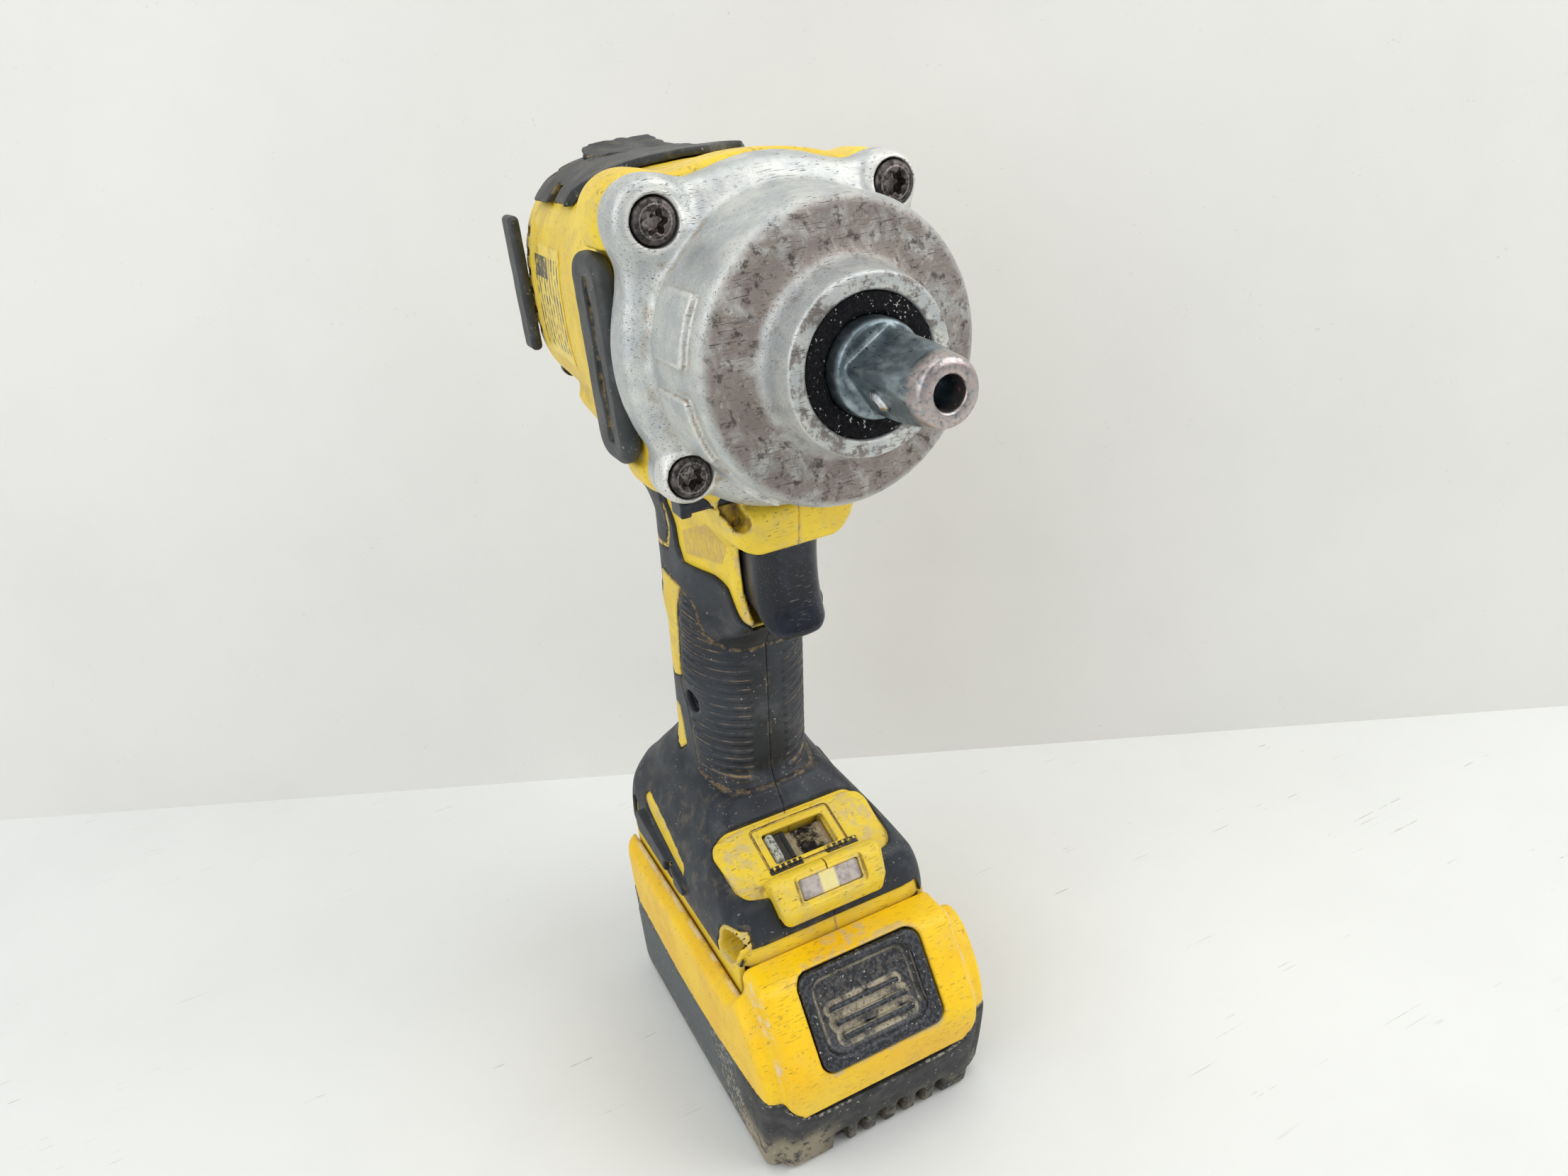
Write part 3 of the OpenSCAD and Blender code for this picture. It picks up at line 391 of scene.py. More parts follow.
def cavities(x, y, z):
    """Everything inside the clamshell that is open."""
    dz = z - AXIS_Z
    d = np.hypot(y, dz) - 26.3
    u, w = tilted(x, z, (3.7, 130), 9.5)
    d = np.minimum(d, cut(rect(u, y, 18, 14, 13.9), np.abs(w - 11) - 71, 0.5))
    d = np.minimum(d, block(x, y, z, (18, -SLOT_Y, 160.2), (70, SLOT_Y, 187), 0.8))
    d = np.minimum(d, block(x, y, z, (20, -SLOT_Y, 186), (44, SLOT_Y, 199), 1))
    d = np.minimum(d, block(x, y, z, (45.2, -40, 200.2), (53.4, 40, 205.8), 0.8))
    d = np.minimum(d, block(x, y, z, (-31, -28.2, FOOT_LOW_Z - 4), (40, 28.2, 77.5), 1))
    d = np.minimum(d, block(x, y, z, (-45, -22.5, 40), (62, 22.5, FOOT_LOW_Z), 0.5))
    pu, pn = tilted(x, z, (38, 82.3), 20.9)
    d = np.minimum(d, block(pu, y, pn, (-9, -10.4, -14), (4, 10.4, 8), 0.6))
    d = np.minimum(d, np.maximum(panel_outline(pu, y) + 0.6, -1.3 - pn))
    for sy, sz in SCREWS:
        d = np.minimum(d, np.maximum(np.hypot(y - sy, dz - sz) - 2.55, 18 - x))
    return d


CASE_SCREWS = [(-26, 270.2), (30, 271), (9, 125), (-27, 71), (50, 70), (32, 205)]
BELT_HOOK = (8, 67)


def screw_wells(x, y, z):
    """Screw tunnels through both halves and the wells over the heads."""
    d = np.full(x.shape, 1e3)
    for sx, sz in CASE_SCREWS:
        r = np.hypot(x - sx, z - sz)
        d = np.minimum(d, np.minimum(np.maximum(r - 1.85, np.abs(y + 1) - 13.2), np.maximum(r - 3.7, y + 14)))
    hook = np.maximum(np.hypot(x - BELT_HOOK[0], z - BELT_HOOK[1]) - 3.05, y + 26.2)
    return np.minimum(d, hook)


def nose_case(x, y, z):
    dz = z - AXIS_Z
    r = np.hypot(y, dz)
    a = x - JOINT_X
    bell_end = 88.9 - JOINT_X
    bell = convex(a, r, [(0, -9), (bell_end, -9), (bell_end, 30.7), (bell_end - 1.8, 32.3), (14, 33.3), (0, 33.6)], 0.9)
    boss = convex(a, r, [(20, -9), (CASE_X - JOINT_X, -9), (CASE_X - JOINT_X, 18.4), (bell_end + 6, 19.2), (20, 21)], 0.8)
    shoulder = convex(a, r, [(0, -9), (13, -9), (9.8, 34.6), (6.5, 37.2), (0, 38)], 1.8)
    d = union(union(bell, boss, 5.0), shoulder, 3.4)
    plate = cut(flange(y, z, 8.4), np.abs(a - 4.2) - 4.2, 2.6)
    d = union(d, plate, 3.5)
    for sy, sz in SCREWS:
        lug = cut(np.hypot(y - sy, dz - sz) - 8.2 + ear_trim(y, z), np.abs(a - 4.8) - 4.8, 1.4)
        d = union(d, lug, 3.0)
        web = cut(segment(y, dz, (sy * 0.62, sz * 0.62), (sy, sz)) - 4.6, np.abs(a - 5) - 5.6, 2.4)
        d = union(d, web, 3.0)
    # the lip under the trigger shroud's front edge
    lip = np.maximum(np.hypot(y / 0.9, dz) - 39.4, dz + 27)
    d = union(d, cut(lip, np.abs(a - 3) - 3, 1.8), 3.0)
    # shallow cast pads round the bell
    turn = np.degrees(np.arctan2(y, dz))
    for mid in PAD_TURNS:
        off = (turn - mid + 180) % 360 - 180
        arc = off * math.radians(33.5)
        d = union(d, cut(rect(arc, a - 20.5, 7.5, 8.0, 1.6), np.abs(r - 30) - 3.95, 0.35), 0.9)
    d = minus(d, np.maximum(r - 27.2, np.abs(a - 13) - 15.5), 0.5)
    d = minus(d, r - 13.0, 0.3)
    d = minus(d, np.maximum(r - 14.6, 39.7 - a), 0.7)
    for sy, sz in SCREWS:
        q = np.hypot(y - sy, dz - sz)
        d = minus(d, np.maximum(q - 5.2, 6.4 - a), 0.4)
        d = minus(d, q - 2.65, 0.2)
    return d + 0.05 * noise(x, y, z, 2.2, 5)


PAD_TURNS = [-108, -72, -140, 108, 72, 140]


def girth(u, y):
    """Arc length round the grip from its front, and the same for both sides."""
    turn = np.arctan2(np.abs(y), u - 4)
    return np.where(u > 4, 18 * turn, 18 * math.pi / 2 + 4 - u)


def rubber_zone(x, y, z):
    """Negative where the grip and foot are covered with rubber."""
    side = polygon(x, z, [(-60, 40), (90, 40), (90, 152), (56, 158), (47.5, 160), (43.2, 163), (39.5, 166.4),
                          (36.4, 170.8), (30, 173), (18.9, 174.2), (17.5, 178.5), (17.2, 188), (17.2, 207),
                          (-60, 207)])
    u, w = tilted(x, z, (3.7, 130), 9.5)
    s = girth(u, y)
    stripe = polygon(s, w, [(28.0, 36.0), (30.4, 29), (32.4, 19), (33.7, 8), (34.0, 1.0), (38.5, -1.5), (42.6, 1.5),
                            (43.4, 12), (43.0, 24), (41.0, 34.5)]) - 0.5
    drop = polygon(s, w, [(37.2, -14), (35.3, -21), (34.6, -27), (37.5, -30.5), (43, -28.5), (43.2, -20), (41, -14.5)]) - 0.5
    # a thin yellow line round the rubber panel behind the trigger
    panel_line = np.abs(polygon(x, z, [(-26, 226), (16.2, 226), (15.4, 189.5), (13.0, 181), (10, 176), (3, 175),
                                       (-26, 175)])) - 0.65
    d = np.maximum(side, -stripe)
    d = np.maximum(d, -drop)
    d = np.maximum(d, -panel_line)
    # yellow strips along the foot: all round its bottom, and one on each flank
    d = np.maximum(d, FOOT_LOW_Z + 0.3 + 5.6 * ramp(x, 50, 52) * ramp(30 - np.abs(y), 0, 2) + 2.6 * ramp(-x, 24, 27) - z)
    flank = convex(x, z, [(-20, 78.4), (-17, 76.6), (17, 70.4), (17.4, 74.4), (5, 77.8), (-18, 81)], 0.8)
    d = np.maximum(d, -np.maximum(flank, 26 - np.abs(y)))
    d = np.maximum(d, -cut(teardrop(x, z) - 5.1, y + 26, 0.8))
    pu, pn = tilted(x, z, (38, 82.3), 20.9)
    d = np.maximum(d, -np.maximum(panel_outline(pu, y), -4 - pn))
    lamp_hood = np.maximum(np.maximum(np.abs(y) - hood_half(z), 46 - x), 71.5 - z)
    return np.maximum(d, -lamp_hood)


def rubbered_area(x, z):
    """Part of the grip behind the trigger where yellow lines lie between the rubber's fields."""
    return polygon(x, z, [(-40, 82), (10, 82), (16, 205), (-40, 205)])


def teardrop(x, z):
    """Distance to the middle line of the screw well at the foot's front corner."""
    return segment(x, z, (50, 70), (48.8, 66.2))


def hood_half(z):
    """Half width of the lamp hood, wider towards its top."""
    return 16.3 + 0.143 * (z - 73)


def panel_outline(u, y):
    """Mode panel seen along its normal."""
    return convex(u, y, [(-12.2, -23), (-9.5, -26.1), (9, -25.2), (12, -21), (12, 21), (9, 25.2), (-9.5, 26.1),
                         (-12.2, 23)], 2.5)


def rib_area(x, y, z):
    """How far inside the ribbed part of the grip, and the distances to the seam lines round it."""
    u, w = tilted(x, z, (3.7, 130), 9.5)
    s = girth(u, y)
    seam_w = np.interp(s, [0, 4.9, 10.7, 15.1, 18, 21.4, 30.7, 60], [21.1, 20.2, 21.0, 23.3, 28.7, 34.9, 36.8, 37.5])
    slope = np.interp(s, [0, 12, 16.5, 20, 26, 30], [1, 0.9, 0.48, 0.48, 0.9, 1])
    rear = np.interp(w, [-32, -30.3, -18.1, -8.3, -1.5, 19, 35], [24.4, 24.7, 27.2, 29.4, 33.2, 30.6, 27.0])
    edge_line = np.where((w < -30.2) | (w > seam_w), 9, np.abs(s - rear))
    ring = np.hypot(w + 30.2, np.maximum(s - 25, 0))
    seams = np.minimum(np.minimum(np.abs(w - seam_w) * slope, edge_line), ring)
    inner = np.interp(w, [-31, -16, 10, 21], [5.0, 5.2, 4.6, 7.0])
    inside = np.minimum(np.minimum(s - inner, rear - 1.6 - s), np.minimum(seam_w - 1.8 - w, w + 28.3))
    inside = np.minimum(inside, np.where(y < 0, np.hypot(x - 9, z - 125) - 6.2, 9))
    return inside, seams, u, w


def lined(x, y, z):
    """1 where the fine ribs run, for the rubber's material."""
    return ramp(rib_area(x, y, z)[0], 0, 0.9)


def ribs(x, y, z):
    """How far the grip's fine ribs stand up, and its seam lines lie in."""
    inside, seams, u, w = rib_area(x, y, z)
    pitches = (w - RIB_START) / RIB_PITCH
    wave = np.abs(pitches - np.round(pitches)) * RIB_PITCH
    rib = ramp(inside, 0, 0.9) * ramp(1.0 - wave, 0, 0.7) * 0.5
    groove = ramp(0.8 - seams, 0, 0.7) * 0.65
    middle = ramp(0.35 - np.abs(y), 0, 0.3) * 0.12 * (u > 0) * (w > -29) * (w < 21)
    return rib - groove - middle


RIB_START, RIB_PITCH = 18.9, 3.3


def grip_skin(x, y, z):
    """The rubber over the grip and foot, both halves together."""
    base = tool_form(x, y, z) - 1.2
    d = cut(base - ribs(x, y, z), rubber_zone(x, y, z) + 0.15, 0.55)
    d = cut(d, -(base + 2.2), 0.2)
    d = minus(d, block(x, y, z, (18, -SLOT_Y - 0.4, 158), (60, SLOT_Y + 0.4, 188), 0.5), 0.4)
    # raised pad on each flank, and the wells
    lean = convex(x, z, [(-20, 66), (17, 64.8), (20, 66), (19.4, 69.4), (-17, 75.6), (-20, 74)], 1.2)
    d = union(d, cut(lean, np.abs(np.abs(y) - 32.6) - 1.5, 0.7), 0.8)
    for sx, sz in (CASE_SCREWS[2], CASE_SCREWS[3]):
        d = minus(d, np.maximum(np.hypot(x - sx, z - sz) - 3.6, y), 0.5)
    return minus(d, np.maximum(np.hypot(x - BELT_HOOK[0], z - BELT_HOOK[1]) - 4.0, 20 - np.abs(y)), 0.4)


def housing(x, y, z):
    """The yellow clamshell, both halves together."""
    form = tool_form(x, y, z)
    # the side bumper beds and a shallow panel line on the flanks
    d = minus(form, side_pads_bed(x, y, z), 0.6)
    pocket_u = segment(np.abs(y), z, (14.6, 196.5), (16.6, 202)) - 2.1
    d = minus(d, np.maximum(pocket_u, 52 - x) + np.where(y < 0, 0, 50), 0.5)
    d = minus(d, block(x, np.abs(y), z, (44.6, 20.2, 199.6), (54, 60, 206.4), 0.8), 0.6)
    # yellow lines between the rubber's fields come up level with it
    line = cut(cut(form - 1.25, 0.1 - rubber_zone(x, y, z), 0.3), rubbered_area(x, z), 0.4)
    d = np.minimum(d, np.maximum(line, -form - 1.5))
    d = np.maximum(d, -cavities(x, y, z))
    skirts = np.minimum(block(x, np.abs(y), z, (-33, 28.9, DECK_Z + 0.5), (54, 31.2, FOOT_LOW_Z + 1), 0.5),
                        block(x, np.abs(y), z, (-33, 22.5, DECK_Z + 2.6), (54, 29.5, DECK_Z + 6), 0.5))
    d = np.minimum(d, skirts)
    bosses = np.full(x.shape, 1e3)
    for sx, sz in (CASE_SCREWS[2], CASE_SCREWS[3]):
        bosses = np.minimum(bosses, np.maximum(np.hypot(x - sx, z - sz) - 4.4, np.abs(y) - 16))
    d = np.minimum(d, np.maximum(bosses, form))
    d = np.maximum(d, -screw_wells(x, y, z))
    # screw well at the right front corner of the foot, with a raised rim
    well = teardrop(x, z)
    d = np.minimum(d, np.maximum(cut(form - 1.15, np.abs(well - 4.4) - 0.6, 0.5), y + 26.2))
    return minus(d, np.maximum(well - 3.7, y + 22), 0.5)


def side_pads_bed(x, y, z):
    return np.maximum(side_pads(y, z, 0.15), np.abs(x - 45.6) - 9.6)


def half(field, side):
    """One side of a form that is split down the middle, with a fine parting line."""
    return lambda x, y, z: cut(field(x, y, z), -side * y + 0.02, 0.1)


def rear_cap(x, y, z):
    d = np.maximum(cut(section(x, y, z), REAR_X + 1 - x, 4.5), x - CAP_X)
    dz = z - AXIS_Z
    r = np.hypot(y, dz)
    hollow = np.minimum(np.maximum(r - 25, np.maximum(REAR_X + 3.5 - x, -(np.maximum(r - 10.6, x + 39.4)))),
                        np.minimum(np.maximum(r - 8.06, -44.5 - x), np.maximum(r - 6, REAR_X + 4 - x)))
    d = np.maximum(d, -hollow)
    for i in range(6):
        slot = block(x, np.abs(y), dz, (-45.9, 21, 17.8 - 5.4 * i), (-41.3, 33, 20.2 - 5.4 * i), 0.8)
        d = minus(d, slot, 0.4)
    # screw holes with counterbores and a round groove on the back
    for sy, sz in REAR_SCREWS:
        q = np.hypot(y - sy, dz - sz)
        d = minus(d, np.minimum(q - 1.8, np.maximum(q - 3.4, x - REAR_X - 3.2)), 0.4)
    ring = np.abs(r - 17) - 0.5
    d = minus(d, np.maximum(ring, x - REAR_X - 1.7), 0.3)
    return d


REAR_SCREWS = [(s * y, h) for s in (-1, 1) for y, h in ((18.5, 26.5), (20.5, -21.5))]


def front_bumpers(x, y, z):
    dz = z - AXIS_Z - (PAD_LOW + PAD_HIGH) / 2
    tall = (PAD_HIGH - PAD_LOW) / 2 - 0.3
    ay = np.abs(y)
    outline = rect(x - 45.4, dz, 9.2, tall, 6.5)
    d = cut(outline, np.abs(ay - 36.7) - 2.5, 2.2)
    # a hollow down the middle that has cracked open
    crack = rect(x - 46.5 - 0.6 * noise(x, y, z, 4, 3), dz, 2.0 + 0.9 * noise(x, ay, z, 5, 1), tall - 5, 1.5)
    d = minus(d, cut(crack, 38.1 + 0.35 * noise(x, y, z, 3, 2) - ay, 0.2), 0.5)
    return d + 0.07 * noise(x, y, z, 3, 9)


def rear_bumpers(x, y, z):
    d = block(x, np.abs(y), z - AXIS_Z, (REAR_X, 29.6, -14), (CAP_X - 3, 32.8, 24), 1.5)
    return d + 0.06 * noise(x, y, z, 4, 2)


def barrel_rubber(x, y, z):
    """Torn rubber over the top of the barrel."""
    wobble = 0.7 * noise(x, y, z, 5, 11) + 0.35 * noise(x, y, z, 1.7, 12)
    dz = z - AXIS_Z
    base = section(x, y, z, 0.3) - 0.2
    thick = 1.5 + 0.25 * noise(x, y, z, 9, 13)
    outer = base - thick
    # its side edge, and the front edge that runs diagonally behind the front lobes
    front = np.interp(np.abs(y), [0, 10, 18, 25, 30], [31, 27, 12, -1, -3])
    sheet = np.maximum(28.1 + 0.02 * x - dz, x - front)
    sheet = np.maximum(sheet, CAP_X + 0.4 - x) + wobble * 0.8
    notch = np.maximum(np.abs(x + 17.5 + wobble) - 4.0, dz - 32.2 + wobble)
    notch = np.where(y < 0, notch, 9)
    hook = np.minimum(segment(x, y, (-37, -18.6), (-33.5, -16)) - 1.1, segment(x, y, (-33.5, -16), (-33, -19.5)) - 0.9)
    slit = segment(x, y, (-20, -15.4), (-15.5, -8)) - 0.75 - 0.6 * wobble
    tear = segment(x, y, (-26, 6), (-6, 13)) - 1.1 - wobble
    hole = np.minimum(np.minimum(notch, hook), np.minimum(slit, tear))
    d = cut(outer, sheet, 0.6)
    d = cut(d, -hole, 0.4)
    d = cut(d, -(base + 0.1), 0.15)
    return minus(d, lobes(x, y, z) - 0.15, 0.1)


def torn_flap(x, y, z):
    """A strip of the same rubber that has come up along the top."""
    wobble = 0.9 * noise(x, y, z, 2.4, 21) + 0.8 * noise(x, y, z, 6, 22)
    lift = AXIS_Z + 37.4 + 0.05 * np.maximum(-24 - x, 0) ** 1.5 + 0.4 * noise(x, y, z, 7, 23)
    sheet = np.abs(z - lift) - 0.75
    outline = polygon(x, y, [(-37, -8), (-30, -12), (-16, -10), (-6, -3), (8, 3), (20, 8), (8, 10), (-10, 12),
                             (-24, 13), (-37, 10)]) + 1.2 * wobble
    return cut(sheet, outline, 0.4)


def anvil(x, y, z):
    dz = z - AXIS_Z
    r = np.hypot(y, dz)
    back = TIP_X - x
    collar = convex(x, r, [(80, -5), (103.2, -5), (103.2, 9.4), (102.2, 10), (80, 10)], 0.5)
    turn = math.radians(31)
    a = y * math.cos(turn) + dz * math.sin(turn)
    b = -y * math.sin(turn) + dz * math.cos(turn)
    flats = cut(np.abs(a) - 6.35, np.abs(b) - 6.35, 0.5)
    turned = convex(-back, r, [(-26, -5), (0, -5), (0, 6.1), (-0.9, 6.9), (-3.6, 7.2), (-6.2, 8.3), (-26, 8.35)], 0.7)
    square = cut(flats, turned, 0.35)
    nose = convex(-back, r, [(-5, -5), (0, -5), (0, 6.1), (-0.9, 6.75), (-3.4, 6.75), (-5, 6.0)], 0.6)
    square = union(square, nose, 1.2)
    drive = np.maximum(square, 102 - x)
    d = union(collar, drive, 1.2)
    d = minus(d, np.maximum(r - 3.35, TIP_X - 10 - x), 0.7)
    pin_turn = math.radians(31 + 90)
    along = -y * math.sin(pin_turn) + dz * math.cos(pin_turn)
    across = np.hypot(x - 110.8, y * math.cos(pin_turn) + dz * math.sin(pin_turn))
    d = minus(d, np.maximum(across - 2.41, -along), 0.35)
    wings = cut(cut(np.abs(y) - 23.6, np.abs(dz) - 6.6, 0.8), np.abs(x - 75.6) - 3.6, 0.6)
    body = cut(r - 11.3, np.abs(x - 76.5) - 4.5, 0.4)
    ring = cut(r - 14.4, np.abs(x - 80.65) - 1.25, 0.3)
    d = np.minimum(d, np.minimum(wings, np.minimum(body, ring)))
    d = minus(d, np.maximum(r - 5.56, x - 85), 0.3)
    return d + 0.035 * noise(x, y, z, 1.6, 4) * (r > 4)


def felt_washer(x, y, z):
    r = np.hypot(y, z - AXIS_Z)
    d = cut(np.abs(r - 12.35) - 2.2, np.abs(x - 97.1) - 2.1, 0.9)
    fibre = 0.22 * noise(x * 0.6, y, z, 0.7, 6) + 0.18 * noise(x, y, z, 1.9, 7)
    return d + fibre * ramp(x, 96, 97.5)


def lobed(u, v, r):
    """Six-lobed driver recess."""
    turn = np.arctan2(v, u)
    return np.hypot(u, v) - r * (1 + 0.2 * np.cos(6 * turn))


def nose_screws(x, y, z):
    d = np.full(x.shape, 1e3)
    dz = z - AXIS_Z
    for i, (sy, sz) in enumerate(SCREWS):
        u, v = y - sy, dz - sz
        q = np.hypot(u, v)
        head = cut(q - 4.8, np.abs(x - 63.75) - 2.2, 1.25)
        turn = 0.5 * i
        key = lobed(u * math.cos(turn) + v * math.sin(turn), v * math.cos(turn) - u * math.sin(turn), 2.35)
        head = minus(head, np.maximum(key, 62.2 - x), 0.35)
        ridge = minus(head, np.maximum(np.abs(q - 3.75) - 0.15, 65.8 - x), 0.1)
        shank = cut(q - 2.42, np.abs(x - 47.8) - 14.0, 0.3)
        d = np.minimum(d, np.minimum(ridge, shank))
    return d


# ---- foot panel, trigger and lever ----

PANEL_AT, PANEL_LEAN = (38, 82.3), 20.9
LENS_AT, LENS_LEAN = (55.6, 82.2), 58.0


def mode_panel(x, y, z):
    """Yellow panel with a framed slot for the slider and a raised hood round the lamp."""
    u, n = tilted(x, z, PANEL_AT, PANEL_LEAN)
    crown = 0.9 * (np.abs(y) / 25) ** 2
    plate = cut(panel_outline(u, y), np.abs(n + 0.6 + crown) - 2.2, 0.9)
    frame_line = np.abs(rect(u + 2.6, y, 7.6, 13.0, 1.2)) - 0.35
    plate = minus(plate, np.maximum(frame_line, 1.0 - crown - n), 0.25)
    side = convex(x, z, [(46, 72), (57.8, 72.5), (58.9, 78.6), (54.9, 85.9), (51.3, 86.9), (46, 82.5)], 1.4)
    hood = cut(side, np.abs(y) - hood_half(z), 2.4)
    lu, ln = tilted(x, z, LENS_AT, LENS_LEAN)
    dish = rect(lu, y, 4.3, 11.0, 1.6)
    hood = minus(hood, cut(dish, -0.1 - ln - 0.4 * np.minimum(dish, 0), 0.4), 0.7)
    d = union(plate, hood, 1.6)
    d = minus(d, block(lu, y, ln, (-3.1, -9.8, -1.7), (3.1, 9.8, 2), 0.7), 0.2)
    d = minus(d, block(u, y, n, (-7.7, -10.3, -8), (3.2, 10.3, 6), 0.8), 0.45)
    d = np.maximum(d, -foot(x, y, z) - 0.6)
    return minus(d, np.maximum(np.abs(y) - 0.12, 4.6 - n), 0.2)


def slider_floor(x, y, z):
    """Dirty sill under the slider, seen through the panel's slot."""
    u, n = tilted(x, z, PANEL_AT, PANEL_LEAN)
    shell = block(u, y, n, (-7.6, -10.2, -3.6), (3.1, 10.2, -2.4), 0.3)
    return shell + 0.1 * noise(x, y, z, 1.6, 31)


def mode_slider(x, y, z):
    u, n = tilted(x, z, PANEL_AT, PANEL_LEAN)
    plate = block(u, y, n, (-7.2, -9.9, -2.2), (2.9, -3.4, 0.3), 0.5)
    ridge = block(u, y, n, (-6.9, -9.7, -1), (2.7, -7.2, 2.4), 1.1)
    stop = block(u, y, n, (-6.9, -5.0, -1), (2.7, -3.5, 1.2), 0.5)
    d = union(union(plate, ridge, 1.2), stop, 0.8)
    return np.minimum(d, block(u, y, n, (-3, -8.6, -6.4), (1, -4.6, -1.8), 0.3))


def led_lens(x, y, z):
    u, n = tilted(x, z, LENS_AT, LENS_LEAN)
    return cut(rect(u, y, 3.0, 9.7, 1.0), np.abs(n + 1.0) - 0.6, 0.25)


def panel_badges(x, y, z):
    """Two printed strips that follow the edge of the mode panel's hood."""
    u, n = tilted(x, z, PANEL_AT, PANEL_LEAN)
    outline = np.minimum(rect(u - BADGE_U, y + 8.1, 1.2, 5.4, 0.5), rect(u - BADGE_U, y - 10.4, 1.2, 5.4, 0.5))
    return np.maximum(np.abs(mode_panel(x, y, z) - 0.05) - 0.2, np.maximum(outline, -n - 1))


BADGE_U = 4.9


def led_chip(x, y, z):
    """The lamp behind the lens."""
    u, n = tilted(x, z, LENS_AT, LENS_LEAN)
    return block(u, y + 0.5, n, (-2.1, -2.3, -2.4), (2.1, 2.3, -1.62), 0.3)


def trigger(x, y, z):
    half = 9.0
    front = 52.9 + np.where(z > 174, 0.011, 0.017) * (z - 174) ** 2
    crown = 0.012 * y * y
    sole = 160.2 + 0.36 * np.maximum(51 - x, 0) + 0.012 * y * y - z
    side = cut((x + crown - front) * 0.94, sole * 0.94, 2.6)
    d = cut(np.maximum(side, z - 186.4), np.abs(y) - half, 5.0)
    d = np.maximum(d, 38 - x)
    d = np.maximum(d, -block(x, y, z, (30, -half + 2.2, 168.5), (48.5, half - 2.2, 184.5), 1))
    d = np.minimum(d, block(x, y, z, (38, -4.2, 170), (49, 4.2, 178), 0.4))
    return np.minimum(d, cut(np.hypot(y, z - 174) - 3, np.abs(x - 31) - 9, 0.3))


def direction_lever(x, y, z):
    d = block(x, y, z, (45.5, -25.6, 200.5), (53.1, 18.5, 205.5), 0.5)
    right = convex(x, z, [(46.2, 199.4), (52.6, 199.4), (53.4, 203.4), (50.6, 205.1), (46.2, 204.9)], 0.6)
    d = np.minimum(d, cut(right, np.abs(y + 26.0) - 1.4, 0.6))
    left = rect(x - 49.3, z - 203, 2.9, 1.8, 0.6)
    return np.minimum(d, cut(left, np.abs(y - 19.3) - 1.1, 0.5))


def rating_label(x, y, z):
    mid = AXIS_Z + LABEL_UP
    outline = rect(x - LABEL_X, z - mid, LABEL_W / 2, LABEL_H / 2, 1.2)
    skin = np.abs(section(x, y, z) - 0.1) - 0.16
    return np.maximum(cut(outline, skin, 0.05), y)


LABEL_X, LABEL_W, LABEL_UP, LABEL_H = -19.8, 29.4, 2.4, 30


# ---- battery pack ----

LATCH_AT, LATCH_LEAN = (75, 52.8), 58.6
PACK_SCREWS = [(x, s * 29) for x in (-31.6, 70.2) for s in (-1, 1)]


def pack_form(x, y, z):
    """Outer form: a hump down the middle with a lower shoulder on each side."""
    ay = np.abs(y)
    front = PACK_HIGH[0]
    hump = convex(x, z, [(PACK_LOW[0], 0), (front - 9.6, 0), (front - 1.6, 29), (front, 38),
                         (front - 0.3, 41), (front - 14.6, 64.6), (PACK_LOW[0], 64.6)], 2.2)
    hump = cut(hump, ay - 31.3, 2.6)
    top = 54.6 + 5.5 * ramp(x, 55, 61) - 3.5 * ramp(x, 64, 72)
    shoulder = convex(x, z, [(PACK_LOW[0], 0), (front - 12, 0), (front - 9, 12), (front - 3.9, 33.5), (front - 5.4, 42),
                             (front - 12.4, 54.5), (front - 20, 62), (PACK_LOW[0], 62)], 3.0)
    flank = convex(ay, z, [(0, 0), (35.4, 0), (37.5, 6), (37.5, 64), (0, 64)], 1.0)
    shoulder = cut(cut(shoulder, flank, 3.0), z - top, 4.5)
    d = union(hump, shoulder, 3.6)
    plan = span(x, y, PACK_LOW[0], front, -37.5, 37.5, 11)
    d = cut(d, plan, 1.5)
    rear = cut(d, PACK_LOW[0] - x, 3.0)
    return cut(rear, -z, 1.6)


def pack_parting(x, y):
    """Height of the line between the yellow and the black shell."""
    ay = np.abs(y)
    at_front = np.interp(ay, [0, 22, 27, 32, 38], [23.5, 24.0, 26.5, 33.5, 34.5])
    at_side = np.interp(x, [-38, -31, -25, 10, 40, 62, 76], [43, 43, 32.5, 28.5, 29, 32, 34.5])
    return at_side + (at_front - at_side) * ramp(x + 0.35 * (38 - ay), 70, 77)


def pack_hollow(x, y, z, form):
    """Inside of the pack's two shells, at least 2 mm under their outer form."""
    side = convex(x, z, [(PACK_LOW[0] + 2.4, 2.5), (71, 2.5), (73, 14), (74.5, 30), (66, 44), (62, DECK_Z - 2.4),
                         (PACK_LOW[0] + 2.4, DECK_Z - 2.4)], 1.5)
    d = cut(cut(side, np.abs(y) - 35.1, 2), span(x, y, PACK_LOW[0] + 2.4, 80, -35.1, 35.1, 8.6), 0.6)
    for sx, sy in PACK_SCREWS:
        d = np.maximum(d, 3.3 - np.hypot(x - sx, y - sy))
    return np.maximum(d, form + 2.0)


def pack_screw_holes(x, y, z, form):
    """Tunnels for the pack's screws, kept inside the shell's outer skin."""
    d = np.full(x.shape, 1e3)
    for sx, sy in PACK_SCREWS:
        r = np.hypot(x - sx, y - sy)
        d = np.minimum(d, np.minimum(np.maximum(r - 1.32, z - 39), np.maximum(r - 2.6, z - 3)))
    return np.maximum(d, np.minimum(form + 0.8, z - 0.8))


